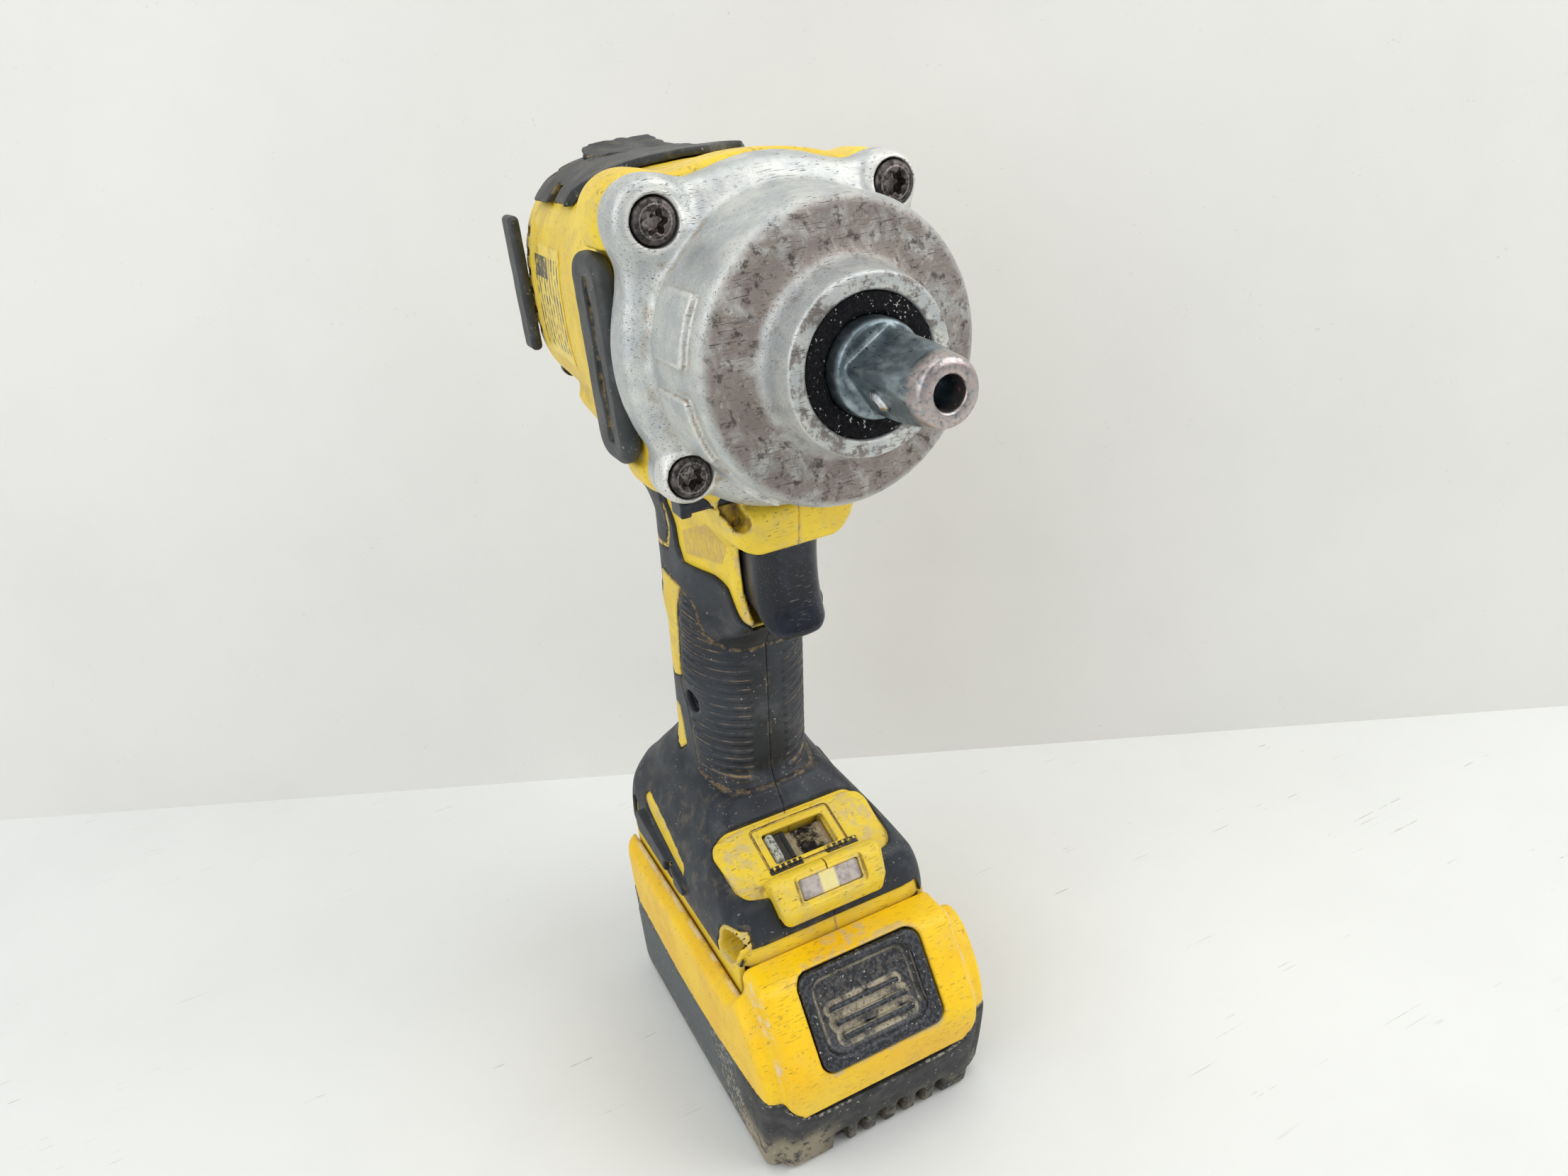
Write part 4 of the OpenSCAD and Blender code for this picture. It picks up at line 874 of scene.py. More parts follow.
def battery_top_shell(x, y, z):
    form = pack_form(x, y, z)
    lu, ln = tilted(x, z, LATCH_AT, LATCH_LEAN)
    d = minus(form, block(x, y, z, (-60, -31.8, DECK_Z), (56.3, 31.8, 90), 1.0), 1.1)
    d = minus(d, cut(rect(lu, y, 14.4, 20.2, 4.2), np.abs(ln) - 9, 0.5), 0.5)
    d = np.maximum(d, -pack_hollow(x, y, z, form))
    rails = np.minimum(block(x, y, z, (-12, -22, DECK_Z - 1), (56.4, 22, DECK_Z + 6.5), 0.4),
                       block(x, y, z, (-12, -27, DECK_Z + 6.4), (56.4, 27, DECK_Z + 11.6), 0.4))
    for i in range(-2, 3):
        rails = np.maximum(rails, -block(x, y - 8 * i, z, (-14, -1.3, DECK_Z + 2.4), (12, 1.3, DECK_Z + 9.8), 0.2))
    arm = block(x, y, z, (46.4, -6.6, DECK_Z + 3.2), (72, 6.6, DECK_Z + 13), 0.3)
    d = np.maximum(np.minimum(d, rails), -arm)
    d = np.maximum(d, -pack_screw_holes(x, y, z, form))
    return cut(d, pack_parting(x, y) + 0.06 - z, 0.35)


def battery_base_shell(x, y, z):
    form = pack_form(x, y, z)
    form = form - 0.35 * ramp(pack_parting(x, y) - z, 0.6, 2.0)
    # worn feet along the lower front edge
    front = PACK_HIGH[0]
    for i, at in enumerate(np.arange(-14, 22, 6.8)):
        worn = 0.9 * noise(y, z, x, 2.6, 43 + i)
        wide = 2.6 if i == 0 else 1.5
        notch = cut(rect(y - at, z - 2.5, wide, 7.2 + worn, 1.3), front - 12.9 + 0.18 * z + 0.5 * worn - x, 0.8)
        form = minus(form, notch, 0.7)
    # leaning ribs and a recess at the rear on each flank
    for i in range(6):
        line = segment(x, z, (37 + 3.1 * i, 28.0), (47 + 3.1 * i, 6.0)) - 0.65
        form = minus(form, np.maximum(line, 36.7 - np.abs(y)), 0.35)
    recess = rect(x + 29.6, z - 33.5, 3.6, 7.2, 1.0)
    form = minus(form, np.maximum(recess, 36.6 - np.abs(y)), 0.4)
    long_rib = np.abs(z - 8.6 - 0.02 * x) - 0.45
    form = minus(form, np.maximum(np.maximum(long_rib, np.abs(x - 2) - 30), 37.0 - np.abs(y)), 0.4)
    d = np.maximum(form, -pack_hollow(x, y, z, form))
    d = np.maximum(d, -pack_screw_holes(x, y, z, form))
    return cut(d, z - pack_parting(x, y) + 0.06, 0.45) + 0.05 * noise(x, y, z, 5, 41)


def latch_button(x, y, z):
    u, n = tilted(x, z, LATCH_AT, LATCH_LEAN)
    d = cut(rect(u - 0.1, y, 14.0, 19.7, 4.0), np.abs(n + 2.0) - 2.3, 0.9)
    floor = -3.0 + 2.4 * ramp(u, 3, 13)
    scoop = rect(u + 0.3, y + 0.4, 11.4, 16.4, 5.0)
    d = minus(d, cut(scoop, floor - n, 1.6), 0.7)
    for i in (-1, 0, 1):
        rib = block(u - 4 * i - 2.5, y + 0.5 - 0.8 * i, n, (-0.95, -11.5, -4), (0.95, 11.5, -1.6 + 0.8 * (i + 1)), 0.8)
        d = union(d, rib, 0.3)
    arm = np.minimum(block(x, y, z, (50, -6, DECK_Z + 6.6), (67.5, 6, DECK_Z + 9.6), 0.4),
                     block(x, y, z, (50, -6, DECK_Z + 9.5), (54, 6, DECK_Z + 12), 0.4))
    return np.minimum(d, np.maximum(arm, n + 3.8))


# ==== end of shapes ====

# ---- materials ----

class Paint:
    """Builds one procedural material; lengths are millimetres of the object's own space."""

    def __init__(self, name):
        self.data = bpy.data.materials.new(name)
        self.data.use_nodes = True
        self.tree = self.data.node_tree
        self.bsdf = self.tree.nodes["Principled BSDF"]
        self.place = self.node("ShaderNodeTexCoord").outputs["Object"]
        self.height = None

    def node(self, kind, inputs=None, **settings):
        made = self.tree.nodes.new(kind)
        for key, value in settings.items():
            setattr(made, key, value)
        for key, value in (inputs or {}).items():
            self.feed(made.inputs[key], value)
        return made

    def feed(self, socket, value):
        if isinstance(value, bpy.types.NodeSocket):
            self.tree.links.new(value, socket)
        else:
            socket.default_value = value

    def math(self, operation, a, b=0.0):
        return self.node("ShaderNodeMath", {0: a, 1: b}, operation=operation).outputs[0]

    def ramp(self, value, low, high):
        made = self.node("ShaderNodeMapRange", {"Value": value, "From Min": low, "From Max": high},
                         interpolation_type="SMOOTHSTEP")
        return made.outputs["Result"]

    def spots(self, size, detail=3.0, rough=0.55, stretch=(1, 1, 1), turn=(0, 0, 0), shift=0.0, bend=0.0):
        """Noise from 0 to 1 with features of this size."""
        scale = [1 / (size * MM * s) for s in stretch]
        mapped = self.node("ShaderNodeMapping", {"Vector": self.place, "Scale": scale, "Rotation": turn,
                                                 "Location": (shift, shift * 0.7, shift * 1.3)})
        made = self.node("ShaderNodeTexNoise", {"Vector": mapped.outputs[0], "Scale": 1.0, "Detail": detail,
                                                "Roughness": rough, "Distortion": bend})
        return made.outputs[0]

    def cells(self, size, kind="F1", shift=0.0):
        mapped = self.node("ShaderNodeMapping", {"Vector": self.place, "Scale": [1 / (size * MM)] * 3,
                                                 "Location": (shift, shift, shift)})
        made = self.node("ShaderNodeTexVoronoi", {"Vector": mapped.outputs[0], "Scale": 1.0}, feature=kind)
        return made.outputs["Distance"]

    def measure(self, name):
        """A value stored on the mesh."""
        return self.node("ShaderNodeAttribute", attribute_name=name).outputs["Fac"]

    def axis(self, index):
        """Position along an axis in millimetres."""
        parts = self.node("ShaderNodeSeparateXYZ", {0: self.place})
        return self.math("DIVIDE", parts.outputs[index], MM)

    def blend(self, amount, a, b):
        made = self.node("ShaderNodeMix", {"Factor": amount}, data_type="RGBA")
        self.feed(made.inputs[6], a)
        self.feed(made.inputs[7], b)
        return made.outputs[2]

    def between(self, value, low, high, soft):
        """1 from low to high, with soft ends."""
        falls = self.ramp(self.math("MULTIPLY", value, -1.0), -high, soft - high)
        return self.both(self.ramp(value, low, low + soft), falls)

    def both(self, a, b):
        return self.math("MULTIPLY", a, b)

    def either(self, a, b):
        return self.math("MAXIMUM", a, b)

    def scratches(self, width, length, turn, density, shift=0.0):
        """Thin marks along a direction; density from 0 to 1."""
        lines = self.spots(width, 2.0, 0.5, (1, length, 1), turn, shift, 0.4)
        where = self.spots(14, 3.0, 0.6, shift=shift + 5)
        return self.both(self.ramp(lines, 0.66, 0.70), self.ramp(where, 0.62 - 0.25 * density, 0.72 - 0.2 * density))

    def relief(self, height, depth):
        """Adds a bump; depth in millimetres."""
        made = self.node("ShaderNodeBump", {"Height": height, "Distance": depth * MM, "Strength": 1.0})
        if self.height is not None:
            self.tree.links.new(self.height, made.inputs["Normal"])
        self.height = made.outputs[0]

    def done(self, colour, rough, metal=0.0, coat=0.0, level=0.5):
        self.feed(self.bsdf.inputs["Base Color"], colour)
        self.feed(self.bsdf.inputs["Roughness"], rough)
        self.feed(self.bsdf.inputs["Metallic"], metal)
        self.feed(self.bsdf.inputs["Coat Weight"], coat)
        self.feed(self.bsdf.inputs["Specular IOR Level"], level)
        if self.height is not None:
            self.tree.links.new(self.height, self.bsdf.inputs["Normal"])
        return self.data


def rgb(r, g, b):
    """Linear colour from the 0-255 values seen on screen."""
    return tuple(((c / 255 + 0.055) / 1.055) ** 2.4 if c > 10 else c / 3294.6 for c in (r, g, b)) + (1.0,)


BEIGE = rgb(196, 178, 140)
BROWN = rgb(96, 74, 44)
GREY_DUST = rgb(186, 180, 166)


def yellow_plastic(name, colour, deep, dust, dirt_amount, rubbed, rubbed_colour):
    """Moulded yellow nylon with scuffs, dust in its corners and fine scratches; rubbed gives its pale patch."""
    m = Paint(name)
    cloud = m.spots(24, 4, 0.6)
    base = m.blend(m.ramp(cloud, 0.35, 0.7), colour, deep)
    hollow = m.measure("hollow")
    edge = m.measure("edge")
    film = m.both(m.ramp(m.spots(9, 5, 0.7, shift=2), 0.46, 0.72), dirt_amount)
    base = m.blend(film, base, dust)
    worn = m.both(m.ramp(edge, 0.25, 0.7), m.ramp(m.spots(3.5, 4, 0.6, shift=8), 0.42, 0.6))
    base = m.blend(m.both(worn, 0.6), base, BEIGE)
    corner = m.both(m.ramp(hollow, 0.12, 0.5), m.ramp(m.spots(2.5, 4, 0.65, shift=3), 0.30, 0.6))
    base = m.blend(m.both(corner, 0.85), base, rgb(150, 120, 66))
    deep_dirt = m.both(m.ramp(hollow, 0.5, 0.85), m.ramp(m.spots(1.2, 3, 0.6, shift=4), 0.3, 0.6))
    base = m.blend(deep_dirt, base, BROWN)
    nicks = m.both(m.ramp(m.spots(0.8, 2, 0.5, (1, 2.6, 1), (0.5, 0.3, 0.9), 6), 0.68, 0.72),
                   m.ramp(m.spots(11, 2, 0.5, shift=7), 0.5, 0.6))
    nicks = m.either(nicks, m.both(m.scratches(0.35, 12, (0.4, 0.9, 0.2), 0.9, 1), 0.7))
    nicks = m.either(nicks, m.both(m.scratches(0.3, 9, (1.3, 0.2, 0.8), 0.9, 11), 0.6))
    base = m.blend(m.both(nicks, 0.75), base, rgb(104, 84, 40))
    smudge = m.both(m.ramp(m.spots(1.6, 3, 0.6, shift=12), 0.6, 0.7), m.ramp(m.spots(7, 2, 0.5, shift=13), 0.46, 0.6))
    base = m.blend(m.both(smudge, 0.5), base, rgb(128, 100, 60))
    base = m.blend(rubbed(m), base, rubbed_colour)
    rough = m.math("ADD", m.both(m.spots(1.1, 3, 0.6), 0.22), 0.30)
    rough = m.math("ADD", rough, m.both(film, 0.25))
    m.relief(m.spots(0.45, 3, 0.6, shift=9), 0.035)
    m.relief(m.spots(4, 2, 0.5, shift=10), 0.10)
    m.relief(m.math("SUBTRACT", 1.0, nicks), 0.08)
    return m.done(base, rough, level=0.45)


def hatched_patch(m):
    """Beige patch behind the trigger, hatched by wear."""
    x, z = m.axis(0), m.axis(2)
    top = m.math("ADD", m.math("MULTIPLY", x, 0.395), 176.2)
    inside = m.both(m.between(x, 19.8, 38.6, 1.0), m.between(m.math("SUBTRACT", z, top), -30, 0, 0.8))
    right = m.math("SUBTRACT", m.math("MULTIPLY", x, 1.2), z)
    inside = m.both(inside, m.both(m.between(z, 176.4, 198, 1.0), m.between(right, -400, -135.6, 1.0)))
    hatch = m.ramp(m.spots(0.7, 2, 0.5, (1, 1, 5), (0, 0.5, 0), 5), 0.36, 0.6)
    return m.both(inside, m.math("ADD", m.both(hatch, 0.5), 0.4))


def worn_ledge(m):
    """Whitish wear along the step between the pack's hump and its shoulders."""
    x, y, z = (m.axis(i) for i in range(3))
    ay = m.math("ABSOLUTE", y)
    beside = m.both(m.between(ay, 30.6, 34.0, 0.9), m.between(x, -30, 60, 4))
    front = m.both(m.between(ay, 30.2, 32.4, 0.7), m.between(x, 58, 90, 3))
    where = m.both(m.either(beside, front), m.ramp(z, 36, 44))
    return m.both(m.both(where, m.ramp(m.spots(5, 5, 0.7, (2, 1, 1), shift=15), 0.42, 0.58)), 0.85)


def dusty_rubber(name, colour, pale, dust_amount):
    """Overmoulded rubber, rubbed smooth where it is held and dusty in its grooves."""
    m = Paint(name)
    base = m.blend(m.ramp(m.spots(22, 4, 0.6), 0.4, 0.7), colour, pale)
    hollow = m.measure("hollow")
    edge = m.measure("edge")
    groove = m.both(m.ramp(hollow, 0.18, 0.5), m.ramp(m.spots(2.2, 4, 0.6, shift=2), 0.38, 0.62))
    base = m.blend(m.both(groove, 0.7), base, rgb(146, 124, 84))
    rub = m.both(m.ramp(edge, 0.22, 0.6), m.ramp(m.spots(5, 4, 0.6, shift=5), 0.5, 0.68))
    base = m.blend(m.both(rub, 0.35), base, rgb(120, 108, 84))
    film = m.both(m.ramp(m.spots(13, 5, 0.7, shift=3), 0.5, 0.78), dust_amount)
    base = m.blend(film, base, rgb(126, 128, 128))
    # tan dust on one side of each fine rib
    lean = math.radians(9.5)
    up = m.math("ADD", m.both(m.math("SUBTRACT", m.axis(0), 3.7), math.sin(lean)),
                m.both(m.math("SUBTRACT", m.axis(2), 130 + RIB_START / math.cos(lean)), math.cos(lean)))
    phase = m.math("FRACT", m.math("ADD", m.math("DIVIDE", up, RIB_PITCH), 40.0))
    line = m.both(m.between(phase, 0.15, 0.27, 0.05), m.measure("inlay"))
    line = m.both(line, m.ramp(m.spots(5, 4, 0.6, (1.5, 1.5, 0.5), shift=9), 0.44, 0.64))
    base = m.blend(m.both(line, 0.55), base, rgb(156, 132, 102))
    specks = m.both(m.ramp(m.spots(0.7, 1, 0.4, shift=4), 0.70, 0.74), m.ramp(m.spots(9, 2, shift=6), 0.5, 0.6))
    base = m.blend(m.both(specks, 0.6), base, GREY_DUST)
    marks = m.scratches(0.3, 16, (0.9, 0.2, 0.5), 0.5, 3)
    base = m.blend(m.both(marks, 0.4), base, rgb(140, 134, 118))
    rough = m.math("ADD", m.both(m.spots(6, 4, 0.6, shift=7), 0.25), 0.34)
    rough = m.math("ADD", rough, m.both(film, 0.4))
    m.relief(m.spots(0.35, 3, 0.6), 0.02)
    m.relief(m.spots(3, 3, 0.5, shift=8), 0.06)
    return m.done(base, rough, level=0.4)


def gloss_black(name, colour, sheen):
    """Hard black plastic polished by fingers, with pale scratches."""
    m = Paint(name)
    base = m.blend(m.ramp(m.spots(8, 4, 0.6), 0.4, 0.7), colour, rgb(32, 36, 48))
    worn = m.both(m.ramp(m.measure("edge"), 0.35, 0.8), m.ramp(m.spots(1.4, 4, 0.6, shift=2), 0.45, 0.62))
    base = m.blend(m.both(worn, 0.55), base, rgb(132, 126, 112))
    marks = m.either(m.scratches(0.22, 18, (0.1, 0.3, 1.2), 0.7, 2), m.scratches(0.2, 14, (1.5, 0.2, 0.1), 0.5, 8))
    base = m.blend(m.both(marks, 0.7), base, rgb(150, 148, 140))
    corner = m.both(m.ramp(m.measure("hollow"), 0.25, 0.6), m.ramp(m.spots(1.6, 4, 0.6, shift=5), 0.3, 0.6))
    base = m.blend(corner, base, rgb(128, 112, 84))
    rough = m.math("ADD", m.both(m.spots(5, 4, 0.6, shift=6), 0.2), sheen)
    m.relief(m.spots(0.5, 3, 0.6, shift=7), 0.012)
    m.relief(m.math("SUBTRACT", 1.0, marks), 0.03)
    return m.done(base, rough, level=0.38)


def slider_black(name):
    """The slider: black with its ridge rubbed grey."""
    m = Paint(name)
    hollow, edge = m.measure("hollow"), m.measure("edge")
    rubbed = m.both(m.ramp(m.math("MULTIPLY", m.axis(1), -1.0), 7.0, 7.6), m.ramp(m.spots(1.4, 4, 0.6), 0.3, 0.55))
    base = m.blend(m.either(rubbed, m.both(m.ramp(edge, 0.3, 0.7), 0.3)), rgb(22, 24, 28), rgb(186, 188, 178))
    dirt = m.both(m.ramp(hollow, 0.2, 0.55), m.ramp(m.spots(1.2, 4, 0.6, shift=3), 0.3, 0.6))
    base = m.blend(dirt, base, rgb(120, 108, 84))
    rough = m.math("ADD", m.both(m.spots(3, 3, shift=4), 0.3), 0.22)
    m.relief(m.spots(0.4, 3), 0.02)
    return m.done(base, rough)


def latch_black(name):
    """The latch: grainy frame, with pale dirt packed round the ribs in its scoop."""
    m = Paint(name)
    hollow, edge = m.measure("hollow"), m.measure("edge")
    base = m.blend(m.ramp(m.spots(1.0, 2, 0.6), 0.45, 0.6), rgb(24, 26, 30), rgb(62, 64, 70))
    packed = m.both(m.ramp(hollow, 0.10, 0.34), m.ramp(m.spots(6.5, 5, 0.66, shift=3), 0.36, 0.56))
    base = m.blend(m.both(packed, m.ramp(m.spots(0.8, 3, 0.6, shift=5), 0.25, 0.5)), base, rgb(176, 166, 142))
    worn = m.both(m.ramp(edge, 0.25, 0.7), m.ramp(m.spots(1.5, 4, 0.6, shift=2), 0.48, 0.6))
    base = m.blend(m.both(worn, 0.4), base, rgb(140, 130, 112))
    chips = m.ramp(m.spots(0.9, 1.5, 0.5, shift=9), 0.70, 0.73)
    base = m.blend(m.both(chips, 0.8), base, rgb(196, 190, 176))
    rough = m.math("ADD", m.both(m.spots(2.5, 4, 0.6, shift=6), 0.3), 0.26)
    rough = m.math("ADD", rough, m.both(packed, 0.3))
    m.relief(m.spots(0.5, 3, 0.7, shift=7), 0.07)
    m.relief(packed, 0.12)
    return m.done(base, rough)


def base_black(name):
    """Base shell: matte black with beige wear along its bottom and right front corner, and a painted bluish sheen on
    its flanks.
    """
    m = Paint(name)
    hollow, edge = m.measure("hollow"), m.measure("edge")
    x, y, z = (m.axis(i) for i in range(3))
    base = m.blend(m.ramp(m.spots(6, 5, 0.65), 0.4, 0.7), rgb(40, 41, 42), rgb(66, 67, 66))
    # painted sheen: both flanks are lightened to a bluish grey
    flank = m.both(m.ramp(m.math("ABSOLUTE", y), 34.5, 36.5), m.ramp(m.math("MULTIPLY", x, -1.0), -66, -50))
    base = m.blend(m.both(flank, 0.75), base, rgb(92, 98, 100))
    scuffed = m.both(m.ramp(m.math("MULTIPLY", z, -1.0), -14, -3), m.ramp(m.spots(3, 5, 0.7, shift=3), 0.44, 0.6))
    corner = m.both(m.ramp(m.math("MULTIPLY", y, -1.0), 12, 24), m.ramp(x, 50, 62))
    corner = m.both(corner, m.ramp(m.math("MULTIPLY", z, -1.0), -20, -12))
    corner = m.both(corner, m.ramp(m.spots(3.2, 5, 0.68, shift=4), 0.36, 0.5))
    wear = m.either(m.both(scuffed, 0.5), corner)
    base = m.blend(m.both(wear, 0.8), base, rgb(160, 148, 124))
    lips = m.both(m.ramp(edge, 0.22, 0.6), m.ramp(m.spots(1.8, 4, 0.6, shift=7), 0.44, 0.58))
    base = m.blend(m.both(lips, 0.6), base, rgb(190, 184, 170))
    dirt = m.both(m.ramp(hollow, 0.3, 0.7), m.ramp(m.spots(2, 4, shift=6), 0.35, 0.6))
    base = m.blend(m.both(dirt, 0.6), base, rgb(120, 104, 80))
    chips = m.ramp(m.spots(1.1, 1.5, 0.5, shift=9), 0.70, 0.74)
    base = m.blend(m.both(chips, 0.6), base, rgb(186, 182, 172))
    m.relief(m.spots(0.6, 4, 0.7, shift=1), 0.07)
    m.relief(wear, 0.10)
    return m.done(base, m.math("ADD", m.both(m.spots(2, 4, shift=2), 0.25), 0.48), level=0.4)


def cast_metal(name):
    """Die-cast nose: satin grey with grain, grime on its front rings and in its corners, and a painted highlight along
    its edges.
    """
    m = Paint(name)
    hollow, edge = m.measure("hollow"), m.measure("edge")
    x, y, z = (m.axis(i) for i in range(3))
    reach = m.math("SQRT", m.math("ADD", m.math("POWER", y, 2.0),
                                  m.math("POWER", m.math("SUBTRACT", z, AXIS_Z), 2.0)))
    base = m.blend(m.ramp(m.spots(7, 5, 0.65), 0.35, 0.7), rgb(186, 190, 190), rgb(214, 214, 208))
    # painted highlight: every edge is lightened towards near white
    bright = m.both(m.ramp(edge, 0.25, 0.7), 0.7)
    base = m.blend(bright, base, rgb(232, 230, 224))
    ring = m.both(m.ramp(x, 86.4, 88.2), m.both(m.ramp(reach, 19.6, 21.5), m.ramp(m.math("MULTIPLY", reach, -1), -32.5, -29.5)))
    collar = m.both(m.ramp(x, 88.6, 90), m.ramp(m.math("MULTIPLY", x, -1), -99.1, -93))
    blotch = m.ramp(m.spots(8, 6, 0.72, shift=2, bend=0.6), 0.28, 0.54)
    fine = m.ramp(m.spots(1.6, 5, 0.7, shift=5), 0.36, 0.6)
    grime = m.both(ring, m.math("MAXIMUM", m.both(blotch, 0.85), m.both(fine, 0.6)))
    base = m.blend(m.both(grime, 0.92), base, rgb(116, 98, 88))
    pale_spots = m.both(ring, m.ramp(m.spots(1.1, 4, 0.7, shift=19), 0.6, 0.68))
    base = m.blend(m.both(pale_spots, 0.6), base, rgb(196, 180, 168))
    black = m.both(m.both(ring, m.ramp(m.spots(2.6, 6, 0.75, shift=9), 0.52, 0.64)), 0.8)
    base = m.blend(black, base, rgb(52, 42, 36))
    base = m.blend(m.both(m.both(collar, m.ramp(m.spots(5, 5, 0.7, shift=4), 0.5, 0.66)), 0.5), base, rgb(126, 108, 96))
    face = m.both(m.ramp(x, 99.0, 99.3), m.ramp(m.spots(2.4, 5, 0.7, shift=6), 0.46, 0.6))
    base = m.blend(m.both(face, 0.75), base, rgb(104, 88, 78))
    corner = m.both(m.ramp(hollow, 0.10, 0.45), m.ramp(m.spots(3, 5, 0.65, shift=3), 0.38, 0.62))
    base = m.blend(m.both(corner, 0.7), base, rgb(150, 130, 96))
    deep = m.both(m.ramp(hollow, 0.45, 0.8), m.ramp(m.spots(1.6, 4, shift=8), 0.3, 0.6))
    base = m.blend(m.both(deep, 0.8), base, rgb(90, 68, 44))
    marks = m.either(m.scratches(0.35, 12, (0.2, 0.4, 0.9), 0.9, 4), m.scratches(0.3, 16, (1.1, 0.2, 2.2), 0.9, 9))
    marks = m.either(marks, m.scratches(0.25, 20, (2.0, 0.6, 0.3), 1.0, 14))
    base = m.blend(m.both(marks, 0.75), base, rgb(70, 58, 50))
    dirt = m.either(m.both(grime, 0.8), m.either(corner, black))
    metal = m.math("SUBTRACT", 0.62, m.both(dirt, 0.5))
    rough = m.math("ADD", m.both(m.spots(1.2, 4, 0.6, shift=7), 0.18), 0.36)
    rough = m.math("ADD", rough, m.both(dirt, 0.2))
    m.relief(m.spots(0.7, 4, 0.7, shift=10), 0.10)
    m.relief(m.spots(3.5, 3, 0.5, shift=11), 0.12)
    m.relief(m.math("SUBTRACT", 1.0, marks), 0.06)
    return m.done(base, rough, metal)


def drive_metal(name):
    """Anvil: bluish steel with mottled flats, bright worn corners, a scuffed nose and painted shade in its holes."""
    m = Paint(name)
    edge, hollow = m.measure("edge"), m.measure("hollow")
    x = m.axis(0)
    base = m.blend(m.ramp(m.spots(3.2, 5, 0.65, (1.6, 1, 1)), 0.4, 0.7), rgb(104, 116, 122), rgb(156, 168, 172))
    base = m.blend(m.ramp(m.spots(0.8, 4, 0.6, (3, 1, 1), shift=3), 0.62, 0.7), base, rgb(40, 44, 48))
    nose = m.ramp(x, TIP_X - 4.6, TIP_X - 2.6)
    rubbed = m.either(m.both(m.ramp(edge, 0.2, 0.6), 0.8), nose)
    base = m.blend(m.both(rubbed, m.ramp(m.spots(0.9, 4, 0.6, shift=4), 0.25, 0.6)), base, rgb(186, 172, 168))
    rust = m.both(m.ramp(m.spots(1.3, 4, 0.65, shift=7), 0.62, 0.7), m.ramp(x, TIP_X - 9, TIP_X - 2))
    base = m.blend(m.both(rust, 0.8), base, rgb(124, 52, 44))
    # painted shade: the bore, the pin hole and other hollows are painted near black
    dark = m.both(m.ramp(hollow, 0.3, 0.7), 0.9)
    base = m.blend(dark, base, rgb(24, 20, 20))
    rough = m.math("ADD", m.both(m.spots(1.2, 4, 0.65, (3, 1, 1), shift=5), 0.36), 0.16)
    m.relief(m.spots(0.6, 4, 0.7, (3, 1, 1), shift=6), 0.03)
    m.relief(m.spots(2.4, 3, 0.6, shift=8), 0.05)
    return m.done(base, rough, m.math("SUBTRACT", 0.95, m.both(rust, 0.6)))


def rusty_screw(name):
    """Dark screws with rust in their recess and a painted highlight on their rim."""
    m = Paint(name)
    edge, hollow = m.measure("edge"), m.measure("hollow")
    base = m.blend(m.ramp(m.spots(1.8, 5, 0.7), 0.4, 0.64), rgb(48, 46, 46), rgb(112, 104, 102))
    # painted highlight: a pale glint round each head's rim
    rim = m.both(m.ramp(edge, 0.14, 0.5), m.ramp(m.spots(1.2, 3, shift=2), 0.3, 0.5))
    base = m.blend(m.both(rim, 0.9), base, rgb(206, 196, 190))
    rust = m.both(m.ramp(hollow, 0.2, 0.6), m.ramp(m.spots(0.9, 4, 0.6, shift=3), 0.48, 0.66))
    base = m.blend(m.both(rust, 0.7), base, rgb(116, 76, 44))
    m.relief(m.spots(0.5, 4, 0.7, shift=4), 0.05)
    return m.done(base, m.math("ADD", m.both(m.spots(1, 3, shift=5), 0.25), 0.28),
                  m.math("SUBTRACT", 0.85, m.both(rust, 0.6)))


def oily_felt(name):
    """Felt soaked black, with pale specks caught in it."""
    m = Paint(name)
    base = m.blend(m.ramp(m.spots(0.5, 4, 0.8), 0.45, 0.7), rgb(14, 14, 16), rgb(46, 46, 52))
    specks = m.both(m.ramp(m.spots(0.6, 1, shift=4), 0.67, 0.70), m.ramp(m.spots(5, 2, shift=6), 0.44, 0.56))
    base = m.blend(specks, base, rgb(206, 204, 200))
    m.relief(m.spots(0.45, 5, 0.85, shift=2), 0.35)
    return m.done(base, 0.9, level=0.2)


